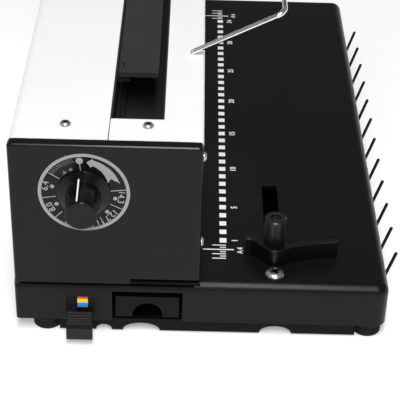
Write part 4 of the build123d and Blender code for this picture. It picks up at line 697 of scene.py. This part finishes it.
def screw_drives():
    """Painted shade: a black disc and cross sunk into the recess of each screw that is seen from
    above.
    """
    for name, (node, radius, step) in RECESS_SHADES.items():
        low, high = corners_of(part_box(node))
        head_r = radius * MM
        xs = sorted({round(low.x + head_r, 6), round(high.x - head_r, 6)})
        ys = sorted({round(low.y + head_r, 6), round(high.y - head_r, 6)})
        shapes = []
        for n, (x, y) in enumerate((x, y) for x in xs for y in ys):
            centre = Vector((x / MM, y / MM))
            shapes.append(disc(radius * DRIVE_ROUND, centre, DRIVE_STEPS))
            for quarter in (0, 90):
                turn = radians(step * (n + 1) + quarter)
                along = Vector((cos(turn), sin(turn))) * radius * DRIVE_ARM
                across = Vector((-sin(turn), cos(turn))) * radius * DRIVE_ARM_WIDE / 2
                shapes.append([tuple(centre + a * along + b * across)
                               for a, b in ((-1, -1), (1, -1), (1, 1), (-1, 1))])
        place = Matrix.Translation((0, 0, high.z - DRIVE_SINK_MM * MM))
        flat_marks(name, shapes, place, SHADE_BLACK, "root", DRIVE_SHADE_MM)


SHADOW_FOOT_MM, SHADOW_TOP_MM = 0.1, 1.5      # painted shadow band, above the foot of the side plate
SHADOW_INSET_MM = 3                          # from the plate's front and rear edges
SHADOW_INK_MM = 0.04


def plate_joint():
    """Painted shadow: black band along the foot of the side plate, where the plate stands on the
    base.
    """
    low, high = corners_of(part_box("left_side_plate"))
    front = (low.y - MARKS_ORIGIN.y) / MM + SHADOW_INSET_MM
    rear = (high.y - MARKS_ORIGIN.y) / MM - SHADOW_INSET_MM
    foot = (low.z - MARKS_ORIGIN.z) / MM - DIAL_Z_MM
    band = rectangle(DIAL_Y_MM - rear, DIAL_Y_MM - front, foot + SHADOW_FOOT_MM,
                     foot + SHADOW_TOP_MM)
    flat_marks("plate_joint", [band], DIAL_FACE, SHADE_BLACK, "root",
               SHADOW_INK_MM)


# ================================================================ stage, light and camera
FLOOR_REACH = 6.0               # metres from the middle to each side


def floor():
    """Large pale floor with the machine in its middle."""
    mesh = bpy.data.meshes.new("floor")
    mesh.from_pydata([(x * FLOOR_REACH, y * FLOOR_REACH, 0)
                      for x, y in ((-1, -1), (1, -1), (1, 1), (-1, 1))], [], [(0, 1, 2, 3)])
    obj = bpy.data.objects.new("floor", mesh)
    bpy.context.collection.objects.link(obj)
    mesh.materials.append(floor_material())


# soft boxes aimed at the machine: place and size in metres, power in watts
SOFT_BOXES = [("key", (-0.9, 0.0, 1.55), (0.36, 1.4), 28.5),
              ("end_box", (-1.35, -0.25, 1.1), (0.8, 0.8), 3.5),
              ("rear_box", (-0.5, 1.5, 1.2), (1.0, 1.0), 3)]
LIGHT_TARGET = (0, 0, 0.05)


def area_light(name, location, size, power):
    """Soft box that faces the machine."""
    lamp = bpy.data.lights.new(name, "AREA")
    lamp.shape = "RECTANGLE"
    lamp.size, lamp.size_y = size
    lamp.energy = power
    obj = bpy.data.objects.new(name, lamp)
    bpy.context.collection.objects.link(obj)
    obj.location = location
    ahead = Vector(LIGHT_TARGET) - Vector(location)
    obj.rotation_euler = ahead.to_track_quat("-Z", "Y").to_euler()


# brightness of the surround against height, as (sine of the elevation, grey): a white horizon
# under a dim ceiling that keeps black surfaces black
SKY_TONES = [(0.04, 1.0), (0.24, 0.09), (0.5, 0.09), (0.6, 0.27), (0.8, 0.18)]


def sky():
    """Even surround: white at the horizon, dim overhead."""
    world = bpy.data.worlds.new("studio")
    world.use_nodes = True
    nodes, links = world.node_tree.nodes, world.node_tree.links
    background = nodes["Background"]
    place = nodes.new("ShaderNodeTexCoord")
    split = nodes.new("ShaderNodeSeparateXYZ")
    links.new(place.outputs["Generated"], split.inputs[0])
    tones = nodes.new("ShaderNodeValToRGB")
    stops = tones.color_ramp.elements
    while len(stops) < len(SKY_TONES):
        stops.new(0.5)
    for stop, (height, grey) in zip(stops, SKY_TONES):
        stop.position = height
        stop.color = (grey, grey, grey, 1)
    links.new(split.outputs["Z"], tones.inputs["Fac"])
    links.new(tones.outputs["Color"], background.inputs["Color"])
    bpy.context.scene.world = world


def lights():
    """Key box high over the left end, soft boxes at that end and behind, and the surround."""
    for box in SOFT_BOXES:
        area_light(*box)
    sky()


CAMERA_MM = (-638.41, 21.10, 466.80)        # machine coordinates
CAMERA_YAW = -0.6216                        # degrees, as are the next two
CAMERA_DOWN = 34.4907
CAMERA_ROLL = -1.7532
FOCAL_PIXELS = 1353.905
IMAGE_PIXELS = 400
SENSOR_MM = 36.0


def camera():
    """Camera at the photograph's place, looking along the machine from its left end."""
    yaw, down, roll = (radians(a) for a in (CAMERA_YAW, CAMERA_DOWN, CAMERA_ROLL))
    ahead = Vector((cos(down) * cos(yaw), cos(down) * sin(yaw), -sin(down)))
    right = Vector((sin(yaw), -cos(yaw), 0))
    lower = ahead.cross(right)
    right, lower = (cos(roll) * right + sin(roll) * lower, cos(roll) * lower - sin(roll) * right)
    data = bpy.data.cameras.new("camera")
    data.sensor_width = SENSOR_MM
    data.lens = FOCAL_PIXELS / IMAGE_PIXELS * SENSOR_MM
    data.clip_start = 0.01
    obj = bpy.data.objects.new("camera", data)
    bpy.context.collection.objects.link(obj)
    turn = Matrix((right, -lower, -ahead)).transposed().to_4x4()
    obj.matrix_world = Matrix.Translation(point(*CAMERA_MM)) @ turn
    bpy.context.scene.camera = obj


dress_nodes()
table_print()
dial_print()
knob_line()
label_bands()
tray()
ear_wraps()
screw_drives()
plate_joint()
floor()
lights()
camera()
bpy.context.scene.view_settings.view_transform = "Standard"
